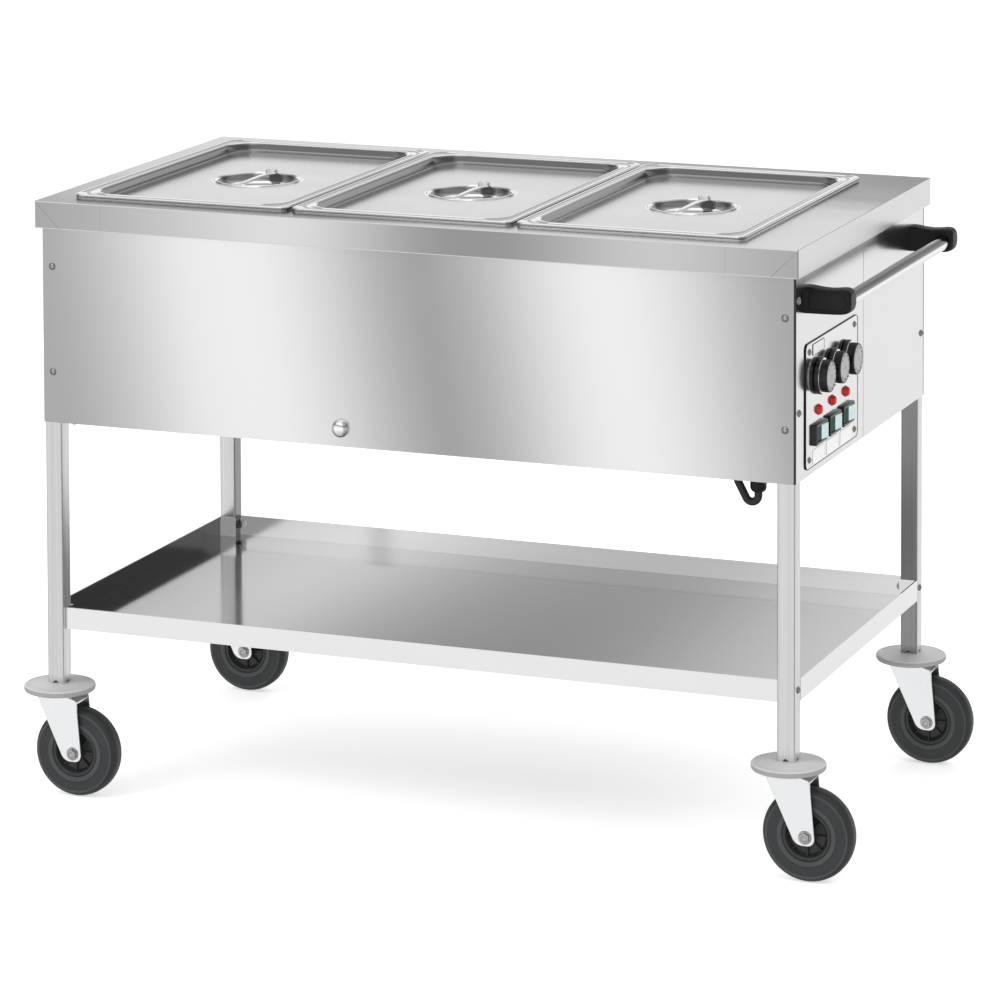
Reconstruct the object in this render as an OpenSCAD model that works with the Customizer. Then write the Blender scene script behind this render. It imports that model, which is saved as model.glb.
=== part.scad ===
// Mobile hot food table: three heated gastronorm wells in a closed steel body on
// four legs, with an undershelf, a push handle, a control plate and swivel casters.
// Frame: +X is the end with the handle and the controls, -Y is the front and +Z is up.
// The origin is on the floor, below the centre of the overall box.

/* [Worktop] */
// Length of the worktop along X
top_w = 1112; // [1104:2:1130]
// Depth of the worktop along Y
top_d = 620; // [612:2:650]
// Height of the worktop above the floor
top_h = 840; // [800:10:900]
// Depth of the turned-down edge all round
skirt_h = 38; // [25:1:45]

/* [Body] */
// Length of the closed body along X
body_w = 1098; // [1090:2:1100]
// Depth of the closed body along Y
body_d = 600; // [590:2:606]
// Height of the body's underside above the floor
body_bottom = 528; // [510:2:540]
// Thickness of the body panels
panel_t = 1; // [0.8:0.1:1]

/* [Wells and pans] */
// Distance from one well's centre to the next
well_pitch = 330; // [328:1:334]
// Centre of the middle well along X, from the body's centre
well_x = -23.5; // [-30:0.5:0]
// Centre of the wells along Y, from the body's centre
well_y = -7; // [-10:1:10]
// Depth of the water bath in each well
well_depth = 200; // [170:5:210]
// Width of a full-size gastronorm lid along X
lid_w = 325; // [324:1:326]
// Length of a full-size gastronorm lid along Y
lid_d = 530; // [528:1:532]
// Depth of the food pans
pan_depth = 150; // [65:5:160]

/* [Legs and shelf] */
// Width of the square leg tube
leg_s = 25; // [25:1:26]
// Height of the lower end of the legs
leg_bottom = 158; // [156:1:162]
// Height of the underside of the undershelf
shelf_z = 235; // [225:5:300]
// Height of the undershelf's upturned rim
shelf_rim = 30; // [26:1:40]

/* [Casters] */
// Diameter of the wheels
wheel_d = 125; // [110:1:125]
// Width of the tyres
tyre_w = 32; // [26:1:34]
// Distance from the swivel axis to the axle
trail = 29; // [26:1:32]
// Diameter of the bumper discs above the casters
bumper_d = 100; // [80:2:110]

/* [Push handle] */
// Distance from the end panel to the outside of the brackets
handle_reach = 62; // [58:1:70]
// Diameter of the grip tube
grip_d = 20; // [18:1:22]
// Distance between the outer faces of the two brackets
handle_span = 516; // [440:4:520]
// Height of the grip tube's axis below the worktop
grip_drop = 78; // [76:1:84]

/* [Controls] */
// Distance from one control column to the next
column_pitch = 61; // [60:1:62]
// Diameter of the thermostat knob's skirt
knob_d = 50; // [44:1:52]
// Distance the thermostat knobs stand out from the end panel
knob_reach = 19.5; // [16:0.5:24]
// Diameter of the drain knob
drain_knob_d = 26; // [20:1:32]

/* [Hidden] */

$fn = 48;
steel = "gainsboro";
zinc = "silver";
black = [0.08, 0.08, 0.09];
rubber_grey = [0.27, 0.28, 0.29];

// Sheet metal
sheet_t = 1.5;
hem_h = 8;
shelf_t = 1.2;
body_x = body_w / 2;
body_y = body_d / 2;
body_top = top_h - sheet_t;
flange_w = 15;
seam_gap = 1.5;
mid_seam_y = 3.5;

// Legs stand one panel thickness inside the body's faces
leg_x = body_x - panel_t - leg_s / 2;
leg_y = body_y - panel_t - leg_s / 2;
leg_wall = 1.5;
leg_bore = leg_s - 2 * leg_wall;
leg_fit = 0.3;

// The overall box runs from the left bumpers to the right wheels, or to the handle
wheel_r = wheel_d / 2;
left_reach = leg_x + bumper_d / 2;
right_reach = max(leg_x + trail + wheel_r, body_x + handle_reach);
unit_x = (left_reach - right_reach) / 2;

// Screws and bolts with button heads: shank, head and hole
m6_r = 3;
m6_head_r = 5.25;
m6_head_h = 3.3;
m5_r = 2.5;
m5_head_r = 4.75;
m5_head_h = 2.75;
hole_play = 0.15;
panel_screw_z = [599.5, 747.5];
end_screw_z = [620, 769];
base_screw_x = leg_x - 30;
bolt_z = shelf_z + 17;
bolt_y = leg_y - 1.5;
nut_h = 5;
nut_r = 5.6;

// Wells, heating and drains
well_w = 306;
well_d = 510;
well_r = 20;
well_t = 1.2;
well_flange = 10;
well_floor = body_top - well_depth;
element_r = 4;
element_run = 190;
element_step = 70;
element_z = well_floor - well_t - element_r;
pad_t = 22;
pad_z = element_z - element_r - pad_t;
pad_w = 290;
pad_strap = 1.5;
drain_back = 187;
pipe_r = 11;
pipe_bore = 9;
drain_x = -98;
drain_z = body_bottom + 25.5;
valve_y0 = -body_y + 16;
valve_y1 = -body_y + 118;
outlet_y = -body_y + 100;
outlet_len = 20;
outlet_nut_h = 4;
stem_r = 4;
run_fit = 0.05;

// Food pans and lids
pan_w = 295;
pan_d = 500;
pan_r = 45;
pan_t = 1;
pan_rim_z = top_h + 0.05;
pan_rim_h = 1.95;
lid_z = top_h + 2.1;
lid_h = 3.9;
lid_t = 1;
lid_rim_w = 18;
lid_sink = 13;
lid_recess_r = 42;
lid_corner_r = 14;
ring_r = 63;
bowl_r = 56;
bowl_floor_r = 34;
bowl_depth = 12;
strap_w = 18;
strap_t = 1.5;

// Casters, measured upward from the floor
fork_gap = 18.5;
fork_t = 2.5;
crown_z = leg_bottom - 27;
race_z = leg_bottom - 18;
bumper_z = leg_bottom - 12;
kingpin_r = 6;
axle_r = 6;
hub_r = 33.5;
tyre_round = 8;

// Handle
bracket_w = 28;
bracket_z0 = top_h - 93;
bracket_z1 = top_h - 58;
bracket_round = 9;
grip_x = body_x + handle_reach - 4.5 - grip_d / 2;
grip_z = top_h - grip_drop;
socket_depth = 16;
bracket_y = handle_span / 2 - bracket_w / 2;

// Control plate, on the front half of the right end
plate_y = -144;
plate_z = 621.5;
plate_w = 231;
plate_h = 166;
plate_t = 1.5;
plate_round = 8;
plate_screw_y = 101;
plate_screw_z = 72;
window_w = 181;
window_h = 122;
knob_z = 655;
lamp_z = 609.5;
lamp_r = 6.5;
lamp_body_r = 6;
switch_z = 579;
switch_w = 50;
switch_h = 28;
switch_body_w = 45;
switch_body_h = 23;
bezel_t = 5.5;
rocker_w = 42;
rocker_h = 20;
rocker_tilt = 5;
rocker_pin_r = 1.5;
tab_z = 550;

// Power cable
cable_r = 5.5;
gland_x = 481;
gland_y = -248;
gland_nut_r = 13.85;
gland_cap_r = 11;
gland_thread = 9;
inner_bend = 15;
loop_bend = 9;
loop_top = body_bottom - 30.5;
loop_turn = 152;
rise = 23.4;
turn_bend = 8.5;
drop_bend = 40;
bend_slack = 0.3;
bend_lap = 0.8;
plug_y = 140;
plug_r = 18;
plug_len = 50;
plug_z = body_bottom - plug_r - 1;
pin_r = 2.4;
pin_len = 19;
pin_gap = 9.5;

// Wiring in the body
loom_x = 492;
loom_y = -246;
loom_z = body_bottom + 70;
block_x = 488;
block_top = body_bottom + 26;

// Places everything in the frame whose origin is under the centre of the overall box
module unit() {
    translate([unit_x, 0, 0]) children();
}

// Outline of a rectangle with round corners, centred
module rounded(w, d, r) {
    square([w - 2 * r, d], center = true);
    square([w, d - 2 * r], center = true);
    for (x = [-1, 1], y = [-1, 1])
        translate([x * (w / 2 - r), y * (d / 2 - r)]) circle(r);
}

// A slab of that outline from height z, h tall
module slab(w, d, r, z, h) {
    translate([0, 0, z]) linear_extrude(h) rounded(w, d, r);
}

// A sheet ring: the outline less the same outline t further in
module ring(w, d, r, t, z, h) {
    difference() {
        slab(w, d, r, z, h);
        slab(w - 2 * t, d - 2 * t, max(r - t, 0.5), z - 1, h + 2);
    }
}

// A box given by its lowest and highest corners
module span(a, b) {
    translate(a) cube(b - a);
}

// Cylinders along X and along Y that start at a point
module rod_x(p, r, h) {
    translate(p) rotate([0, 90, 0]) cylinder(r = r, h = h);
}

module rod_y(p, r, h) {
    translate(p) rotate([-90, 0, 0]) cylinder(r = r, h = h);
}

// Repeated places: the wells, legs, control columns and screws
module at_wells() {
    for (i = [-1, 0, 1]) translate([well_x + i * well_pitch, well_y, 0]) children();
}

module at_legs() {
    for (x = [-1, 1], y = [-1, 1]) translate([x * leg_x, y * leg_y, 0]) children();
}

module at_columns(x, z) {
    for (i = [-1, 0, 1]) translate([x, plate_y + i * column_pitch, z]) children();
}

module at_plate_screws() {
    for (y = [-1, 1], z = [-1, 1])
        translate([0, plate_y + y * plate_screw_y, plate_z + z * plate_screw_z]) children();
}

// Folded top with three cut-outs, a turned-down edge and a hem inside its lower edge
module worktop() {
    color(steel) unit() {
        difference() {
            slab(top_w, top_d, 2, top_h - skirt_h, skirt_h);
            slab(top_w - 2 * sheet_t, top_d - 2 * sheet_t, 1, top_h - skirt_h - 1,
                skirt_h - sheet_t + 1);
            at_wells() slab(well_w, well_d, well_r, top_h - sheet_t - 1, sheet_t + 2);
        }
        ring(top_w - 2 * sheet_t, top_d - 2 * sheet_t, 1, sheet_t, top_h - skirt_h, hem_h);
    }
}

// Holes for the two screws that hold the bottom cover on one side's flange
module base_screw_holes(side) {
    for (x = [-1, 1])
        translate([x * base_screw_x, side * (body_y - flange_w / 2), body_bottom - 1])
            cylinder(r = m5_r + hole_play, h = 4);
}

// Front skin: one sheet with a return flange along the bottom between the legs
module front_panel() {
    color(steel) unit() difference() {
        union() {
            span([-body_x, -body_y, body_bottom], [body_x, -body_y + panel_t, body_top]);
            span([-leg_x + 15, -body_y, body_bottom],
                [leg_x - 15, -body_y + flange_w, body_bottom + panel_t]);
        }
        for (x = [-1, 1], z = panel_screw_z)
            rod_y([x * (leg_x - 1), -body_y - 1, z], m6_r + hole_play, panel_t + 2);
        rod_y([drain_x, -body_y - 1, drain_z], stem_r + run_fit, panel_t + 2);
        base_screw_holes(-1);
    }
}

module rear_panel() {
    color(steel) unit() difference() {
        union() {
            span([-body_x, body_y - panel_t, body_bottom], [body_x, body_y, body_top]);
            span([-leg_x + 15, body_y - flange_w, body_bottom],
                [leg_x - 15, body_y, body_bottom + panel_t]);
        }
        for (x = [-1, 1], z = panel_screw_z)
            rod_y([x * (leg_x - 1), body_y - panel_t - 1, z], m6_r + hole_play, panel_t + 2);
        base_screw_holes(1);
    }
}

// End skin between two values of Y, on the right end when side is 1
module end_skin(side, y0, y1) {
    span([side > 0 ? body_x - panel_t : -body_x, y0, body_bottom],
        [side > 0 ? body_x : -body_x + panel_t, y1, body_top]);
    flange_y0 = max(y0, -leg_y + 15);
    flange_y1 = min(y1, leg_y - 15);
    span([side > 0 ? body_x - flange_w : -body_x, flange_y0, body_bottom],
        [side > 0 ? body_x : -body_x + flange_w, flange_y1, body_bottom + panel_t]);
}

module end_screw_holes(x, y) {
    for (z = end_screw_z) rod_x([x, y * (leg_y - 1), z], m6_r + hole_play, panel_t + 2);
}

module left_end_panel() {
    color(steel) unit() difference() {
        end_skin(-1, -body_y + panel_t + seam_gap, body_y - panel_t - seam_gap);
        for (y = [-1, 1]) end_screw_holes(-body_x - 1, y);
    }
}

module handle_bolt_holes(side) {
    for (z = [-1, 1])
        rod_x([body_x - panel_t - 1, side * bracket_y, (bracket_z0 + bracket_z1) / 2 + z * 9],
            m6_r + hole_play, panel_t + 2);
}

// Front half of the right end, with the window behind the control plate
module right_end_panel_front() {
    color(steel) unit() difference() {
        end_skin(1, -body_y + panel_t + seam_gap, mid_seam_y - seam_gap / 2);
        end_screw_holes(body_x - panel_t - 1, -1);
        handle_bolt_holes(-1);
        translate([body_x - panel_t - 1, plate_y, plate_z]) rotate([90, 0, 90])
            linear_extrude(panel_t + 2) rounded(window_w, window_h, 5);
        translate([body_x - panel_t - 1, 0, 0]) at_plate_screws()
            rod_x([0, 0, 0], m5_r + hole_play, panel_t + 2);
    }
}

module right_end_panel_rear() {
    color(steel) unit() difference() {
        end_skin(1, mid_seam_y + seam_gap / 2, body_y - panel_t - seam_gap);
        end_screw_holes(body_x - panel_t - 1, 1);
        handle_bolt_holes(1);
    }
}

// Bottom cover, lying on the panels' flanges, notched round the legs
module base_pan() {
    z = body_bottom + panel_t;
    notch = leg_s + 2 * leg_fit;
    color(steel) unit() difference() {
        span([-body_x + panel_t + 0.5, -body_y + panel_t + 0.5, z],
            [body_x - panel_t - 0.5, body_y - panel_t - 0.5, z + panel_t]);
        at_legs() slab(notch, notch, 2, z - 1, panel_t + 2);
        translate([gland_x, gland_y, z - 1]) cylinder(r = 10 + hole_play, h = panel_t + 2);
        translate([drain_x, outlet_y, z - 1]) cylinder(r = pipe_r + 1, h = panel_t + 2);
        base_screw_holes(-1);
        base_screw_holes(1);
    }
}

// Square tubes from the casters to the worktop, with a half-round notch in each lower edge
module legs() {
    color(steel) unit() difference() {
        at_legs() ring(leg_s, leg_s, 2.5, leg_wall, leg_bottom, body_top - leg_bottom);
        at_legs() {
            rod_x([-leg_s, 0, leg_bottom], 4, 2 * leg_s);
            rod_y([0, -leg_s, leg_bottom], 4, 2 * leg_s);
        }
        for (x = [-1, 1], y = [-1, 1]) {
            rod_x([x * leg_x - leg_s, y * bolt_y, bolt_z], m6_r + hole_play, 2 * leg_s);
            for (z = panel_screw_z)
                rod_y([x * (leg_x - 1), y * leg_y - leg_s / 2 - 1, z],
                    m6_r + hole_play, leg_s + 2);
            for (z = end_screw_z)
                rod_x([x * leg_x - leg_s / 2 - 1, y * (leg_y - 1), z],
                    m6_r + hole_play, leg_s + 2);
        }
    }
}

// Plan of the undershelf, inset by t: a rectangle with a square notch at each leg
module shelf_plan(t) {
    front_y = body_y - 8.5 - t;
    inner_x = leg_x - leg_s / 2 - leg_fit - t;
    inner_y = leg_y - leg_s / 2 - leg_fit - t;
    outer_x = body_x - panel_t - t;
    square([2 * outer_x, 2 * inner_y], center = true);
    square([2 * inner_x, 2 * front_y], center = true);
}

// Tray with an upturned, hemmed rim
module undershelf() {
    t = shelf_t;
    color(steel) unit() difference() {
        union() {
            difference() {
                translate([0, 0, shelf_z]) linear_extrude(shelf_rim) shelf_plan(0);
                translate([0, 0, shelf_z + t]) linear_extrude(shelf_rim) shelf_plan(t);
            }
            translate([0, 0, shelf_z + shelf_rim - 4]) linear_extrude(4) difference() {
                shelf_plan(t);
                shelf_plan(2 * t);
            }
        }
        for (x = [-1, 1], y = [-1, 1])
            rod_x([x * leg_x - leg_s, y * bolt_y, bolt_z], m6_r + hole_play, 2 * leg_s);
    }
}

// Button-headed screw that points along -X from the origin, with a hexagon socket
module button_screw(shank_r, shank, head_r, head_h) {
    translate([-shank, 0, 0]) rotate([0, 90, 0]) cylinder(r = shank_r, h = shank + 0.5);
    difference() {
        rotate([0, 90, 0]) rotate_extrude() difference() {
            intersection() {
                translate([0, head_h - dome_radius(head_r, head_h)])
                    circle(dome_radius(head_r, head_h));
                square([head_r, head_h]);
            }
            translate([-20, -20]) square([20, 40]);
        }
        translate([head_h - 1.8, 0, 0]) rotate([0, 90, 0]) cylinder(r = shank_r * 0.72, h = 3, $fn = 6);
    }
}

// Radius of a dome of base radius r and height h
function dome_radius(r, h) = (r * r + h * h) / (2 * h);

// Bolts through the legs into nuts inside the undershelf's rim, and the four bolts that
// hold the handle's brackets from inside the body
module frame_bolts() {
    inside_x = leg_x - leg_s / 2 - leg_fit - shelf_t - nut_h / 2;
    color(zinc) unit() {
        for (x = [-1, 1], y = [-1, 1]) {
            translate([x * (body_x - panel_t), y * bolt_y, bolt_z])
                rotate([0, 0, x > 0 ? 0 : 180])
                    button_screw(m6_r, leg_s + 8, m6_head_r, m6_head_h);
            translate([x * inside_x, y * bolt_y, bolt_z]) rotate([0, 90, 0])
                cylinder(r = nut_r, h = nut_h, center = true, $fn = 6);
        }
        for (y = [-1, 1], z = [-1, 1])
            translate([body_x - panel_t, y * bracket_y, (bracket_z0 + bracket_z1) / 2 + z * 9])
                rotate([0, 0, 180]) button_screw(m6_r, 20, m6_head_r, m6_head_h);
    }
}

// Screws that hold the body's skins to the legs, the bottom cover and the control plate
module panel_screws() {
    color(zinc) unit() {
        for (x = [-1, 1], y = [-1, 1]) {
            for (z = panel_screw_z)
                translate([x * (leg_x - 1), y * body_y, z]) rotate([0, 0, y * 90])
                    button_screw(m6_r, 7, m6_head_r, m6_head_h);
            for (z = end_screw_z)
                translate([x * body_x, y * (leg_y - 1), z]) rotate([0, 0, x > 0 ? 0 : 180])
                    button_screw(m6_r, 7, m6_head_r, m6_head_h);
            translate([x * base_screw_x, y * (body_y - flange_w / 2), body_bottom])
                rotate([0, 90, 0]) button_screw(m5_r, 6, m5_head_r, m5_head_h);
        }
        translate([body_x + plate_t, 0, 0]) at_plate_screws()
            button_screw(m5_r, 9, m5_head_r, m5_head_h);
    }
}

// Deep water baths welded under the worktop's cut-outs, each with a drain hole
module wells() {
    color(zinc) unit() at_wells() difference() {
        union() {
            slab(well_w + 2 * well_t, well_d + 2 * well_t, well_r + well_t,
                well_floor - well_t, well_depth + well_t);
            slab(well_w + 2 * well_flange, well_d + 2 * well_flange, well_r + well_flange,
                body_top - well_t, well_t);
        }
        slab(well_w, well_d, well_r, well_floor, well_depth + 1);
        translate([0, drain_back, well_floor - 5]) cylinder(r = pipe_bore, h = 10);
    }
}

// One tubular heater bent into four runs, held against a well's floor
module heating_element() {
    outer = 1.5 * element_step;
    for (i = [0:3]) {
        x = -outer + i * element_step;
        front = (i == 0 || i == 3) ? 45 : 0;
        rod_y([x, -element_run - front, element_z], element_r, 2 * element_run + front);
    }
    for (i = [0:2]) {
        side = i == 1 ? -1 : 1;
        translate([(i - 1) * element_step, side * element_run, element_z])
            rotate([0, 0, side > 0 ? 0 : 180]) rotate_extrude(angle = 180)
                translate([element_step / 2, 0]) circle(element_r);
    }
}

// Strap that holds an insulation pad up, folded up at both ends against the well's floor
module pad_strap() {
    half = pad_w / 2 + pad_strap;
    for (x = [-half, half - pad_strap])
        span([x, -10, pad_z - pad_strap], [x + pad_strap, 10, well_floor - well_t]);
    span([-half, -10, pad_z - pad_strap], [half, 10, pad_z]);
}

module heating_elements() {
    color("dimgray") unit() at_wells() {
        heating_element();
        for (y = [-130, 130]) translate([0, y, 0]) pad_strap();
    }
}

// Mineral wool pads under the heaters
module insulation_pads() {
    color("khaki") unit() at_wells() difference() {
        slab(pad_w - 0.4, 470, 6, pad_z, pad_t - 0.2);
        translate([0, drain_back, pad_z - 1]) cylinder(r = pipe_r + 3, h = pad_t + 2);
    }
}

// Solid pipes (grow = 0) or their bores: down from each well, along the back, and forward
module drain_pipes(r) {
    back_y = well_y + drain_back;
    for (i = [-1, 0, 1])
        translate([well_x + i * well_pitch, back_y, drain_z])
            cylinder(r = r, h = well_floor - well_t - drain_z);
    rod_x([well_x - well_pitch, back_y, drain_z], r, 2 * well_pitch);
    rod_y([drain_x, valve_y1, drain_z], r, back_y - valve_y1);
}

module drain_manifold() {
    color(zinc) unit() {
        difference() {
            union() {
                drain_pipes(pipe_r);
                for (i = [-1, 1])
                    translate([well_x + i * well_pitch, well_y + drain_back, drain_z])
                        sphere(pipe_r);
            }
            translate([0, 0, 1]) drain_pipes(pipe_bore - 1);
        }
    }
}

// Valve block behind the front skin, with its outlet through the bottom cover
module drain_valve() {
    outlet_z = body_bottom - outlet_len;
    nut_z = body_bottom + panel_t - outlet_nut_h;
    color("goldenrod") unit() difference() {
        union() {
            span([drain_x - 18, valve_y0, drain_z - 18], [drain_x + 18, valve_y1, drain_z + 18]);
            translate([drain_x, outlet_y, outlet_z]) cylinder(r = pipe_r, h = outlet_len + 10);
            translate([drain_x, outlet_y, nut_z]) cylinder(r = 16, h = outlet_nut_h);
            rod_y([drain_x, valve_y0 - 12, drain_z], 9, 20);
        }
        translate([drain_x, outlet_y, outlet_z - 1])
            cylinder(r = pipe_bore - 1, h = drain_z - outlet_z + 1);
        rod_y([drain_x, valve_y0 - 13, drain_z], stem_r + run_fit, 60);
        rod_y([drain_x, outlet_y - 20, drain_z], pipe_bore - 1, 60);
    }
}

module drain_knob() {
    dome_h = 13;
    r = drain_knob_d / 2;
    y = -body_y;
    color(zinc) unit() translate([drain_x, y - 1, drain_z]) rotate([90, 0, 0]) {
        rotate_extrude() difference() {
            intersection() {
                translate([0, dome_h - dome_radius(r, dome_h)]) circle(dome_radius(r, dome_h));
                square([r, dome_h]);
            }
            translate([-40, -40]) square([40, 80]);
        }
        translate([0, 0, -28]) cylinder(r = stem_r, h = 29);
    }
}

// Thin plate that carries the knobs, lamps and switches
module control_plate() {
    color(steel) unit() difference() {
        translate([body_x, plate_y, plate_z]) rotate([90, 0, 90])
            linear_extrude(plate_t) rounded(plate_w, plate_h, plate_round);
        translate([body_x - 1, 0, 0]) at_plate_screws() rod_x([0, 0, 0], m5_r + hole_play, 5);
        at_columns(body_x - 1, knob_z) rod_x([0, 0, 0], 3 + run_fit, 5);
        at_columns(body_x - 1, lamp_z) rod_x([0, 0, 0], lamp_body_r + 0.1, 5);
        at_columns(body_x - 1, switch_z)
            translate([0, -switch_body_w / 2 - 0.2, -switch_body_h / 2 - 0.2])
                cube([5, switch_body_w + 0.4, switch_body_h + 0.4]);
    }
}

// Thermostat bodies behind the plate, each with a bush for the knob's stem
module thermostats() {
    color("beige") unit() at_columns(body_x, knob_z) difference() {
        union() {
            span([-34, -20, -18], [-1.5, 20, 18]);
            rod_x([-2, 0, 0], 8, 2);
            for (y = [-12, 0, 12]) span([-42, y - 2.5, -6], [-34, y + 2.5, -5.2]);
        }
        rod_x([-12, 0, 0], 3 + run_fit, 14);
    }
}

// Black knob with a skirt, a grip, a round dial on its face and a stem into the thermostat
module thermostat_knob(i) {
    color(black) unit()
        translate([body_x + plate_t + 0.4, plate_y + i * column_pitch, knob_z]) {
            reach = knob_reach - plate_t - 0.4;
            rod_x([0, 0, 0], knob_d / 2, 5.5);
            rod_x([5, 0, 0], knob_d / 2 - 3.5, reach - 5.4);
            rod_x([reach - 0.6, 0, 0], knob_d / 2 - 4.5, 0.6);
            rod_x([-11, 0, 0], 3, 12);
        }
}

module pilot_lamps() {
    color("red") unit() at_columns(body_x + plate_t, lamp_z) {
        rod_x([-24, 0, 0], lamp_body_r, 24.5);
        rod_x([0, 0, 0], lamp_r + 1, 1);
        rotate([0, 90, 0]) rotate_extrude() difference() {
            intersection() {
                translate([0, 5.5 - dome_radius(lamp_r, 5.5)]) circle(dome_radius(lamp_r, 5.5));
                square([lamp_r, 5.5]);
            }
            translate([-20, -20]) square([20, 40]);
        }
    }
}

// Black surrounds with a pocket for the rocker and a pivot bore across the pocket
module switch_housings() {
    pocket_w = rocker_w + 2.4;
    pocket_h = rocker_h + 0.4;
    color(black) unit() at_columns(body_x + plate_t, switch_z) difference() {
        union() {
            rotate([90, 0, 90]) linear_extrude(bezel_t) rounded(switch_w, switch_h, 2);
            span([-28, -switch_body_w / 2, -switch_body_h / 2],
                [0.5, switch_body_w / 2, switch_body_h / 2]);
        }
        span([-8, -pocket_w / 2, -pocket_h / 2], [bezel_t + 1, pocket_w / 2, pocket_h / 2]);
        translate([bezel_t / 2, 0, -switch_h / 2 + 0.8])
            cylinder(r = rocker_pin_r + run_fit, h = switch_h - 1.6);
    }
}

// Rocker with a shallow V face, tilted to its off position on its two pivot pins
module switch_rocker(i) {
    half = rocker_w / 2;
    color([0.05, 0.3, 0.2]) unit()
        translate([body_x + plate_t + bezel_t / 2, plate_y + i * column_pitch, switch_z])
            rotate([0, 0, -rocker_tilt]) {
                translate([0, 0, -rocker_h / 2]) linear_extrude(rocker_h)
                    polygon([[-6, 4 - half], [-2, -half], [2.6, -half], [3.2, 0.6 - half],
                        [1.8, 0], [3.2, half - 0.6], [2.6, half], [-2, half], [-6, half - 4]]);
                translate([0, 0, 1.5 - switch_h / 2])
                    cylinder(r = rocker_pin_r, h = switch_h - 3);
            }
}

// Blank plates: one under each switch and one at the top of the control plate
module label_plates() {
    color("whitesmoke") unit() {
        at_columns(body_x + plate_t, tab_z) rotate([90, 0, 90])
            linear_extrude(0.5) rounded(51, 19, 1.5);
        translate([body_x + plate_t, plate_y - 62, plate_z + plate_h / 2 - 11])
            rotate([90, 0, 90]) linear_extrude(0.5) rounded(48, 14, 1);
    }
}

// Profile of a bracket in X and Z, with round outer corners
module bracket_profile() {
    r = bracket_round;
    reach = handle_reach;
    h = bracket_z1 - bracket_z0;
    square([reach - r, h]);
    translate([0, r]) square([reach, h - 2 * r]);
    for (z = [r, h - r]) translate([reach - r, z]) circle(r);
}

module handle_brackets() {
    mid_z = (bracket_z0 + bracket_z1) / 2;
    color(black) unit() difference() {
        for (y = [-1, 1]) translate([body_x, y * bracket_y + bracket_w / 2, bracket_z0])
            rotate([90, 0, 0]) linear_extrude(bracket_w) bracket_profile();
        rod_y([grip_x, -bracket_y + bracket_w / 2 - socket_depth, grip_z],
            grip_d / 2 + 0.1, 2 * bracket_y - bracket_w + 2 * socket_depth);
        for (y = [-1, 1], z = [-1, 1])
            rod_x([body_x - 1, y * bracket_y, mid_z + z * 9], m6_r + hole_play, 21);
    }
}

module handle_tube() {
    length = 2 * bracket_y - bracket_w + 2 * socket_depth - 1;
    color(steel) unit() difference() {
        rod_y([grip_x, -length / 2, grip_z], grip_d / 2, length);
        rod_y([grip_x, -length / 2 - 1, grip_z], grip_d / 2 - 1.5, length + 2);
    }
}

// Cable gland through the bottom cover: lock nut inside, hexagon and cap nut outside
module cable_gland() {
    color(black) unit() translate([gland_x, gland_y, body_bottom]) difference() {
        union() {
            translate([0, 0, -25]) cylinder(r1 = gland_cap_r - 3, r2 = gland_cap_r, h = 4);
            translate([0, 0, -21]) cylinder(r = gland_cap_r, h = 12);
            translate([0, 0, -9]) cylinder(r = gland_nut_r, h = 9 + panel_t, $fn = 6);
            cylinder(r = 10, h = gland_thread);
            translate([0, 0, 2 * panel_t]) cylinder(r = gland_nut_r, h = 5, $fn = 6);
        }
        translate([0, 0, -30]) cylinder(r = cable_r + run_fit, h = 50);
    }
}

// Part of a cable bend in a local XY plane, from angle a0 to a1 round the origin
module bend(r, a0, a1) {
    rotate([0, 0, a0]) rotate_extrude(angle = a1 - a0) translate([r, 0])
        circle(cable_r - bend_slack);
}

// Straight length of cable along Z that reaches a little way into the bends at its ends
module straight(length) {
    translate([0, 0, -bend_lap]) cylinder(r = cable_r, h = length + 2 * bend_lap);
}

// Cable: from the terminal block through the gland, round a loop, up behind the front
// edge, along the underside and down to the parked plug
module power_cable() {
    tilt = 180 - loop_turn;
    block_z = body_bottom + gland_thread + 1.5 + inner_bend;
    loop_c = [gland_x - loop_bend, gland_y, loop_top];
    low = loop_c + loop_bend * [-cos(tilt), 0, -sin(tilt)];
    high = low + rise * [-sin(tilt), 0, cos(tilt)];
    turned = high + turn_bend * [-sin(tilt), 1, cos(tilt)];
    half_drop = acos(1 - (turned[2] - plug_z) / (2 * drop_bend));
    drop_y = plug_y - 2 * drop_bend * sin(half_drop);
    color(black) unit() {
        translate([gland_x, gland_y + inner_bend, block_z]) rotate([-90, 0, 0]) straight(112);
        translate([gland_x, gland_y + inner_bend, block_z - inner_bend]) rotate([90, 0, 90])
            bend(inner_bend, 90, 180);
        translate([gland_x, gland_y, loop_top]) straight(block_z - inner_bend - loop_top);
        translate(loop_c) rotate([90, 0, 0]) bend(loop_bend, -loop_turn, 0);
        translate(low) rotate([0, -tilt, 0]) straight(rise);
        translate(high + [0, turn_bend, 0]) rotate([0, -tilt, 0]) rotate([90, 0, -90])
            bend(turn_bend, 0, 90);
        translate(turned) rotate([-90, 0, 0]) straight(drop_y - turned[1]);
        translate([turned[0], drop_y, turned[2] - drop_bend]) rotate([90, 0, 90])
            bend(drop_bend, 90 - half_drop, 90);
        translate([turned[0], (drop_y + plug_y) / 2, (turned[2] + plug_z) / 2])
            rotate([-90 - half_drop, 0, 0]) straight(0);
        translate([turned[0], plug_y, plug_z + drop_bend]) rotate([90, 0, 90])
            bend(drop_bend, 270 - half_drop, 270);
        translate([turned[0], plug_y, plug_z]) rotate([-90, 0, 0]) straight(1 - bend_lap);
    }
}

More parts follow.
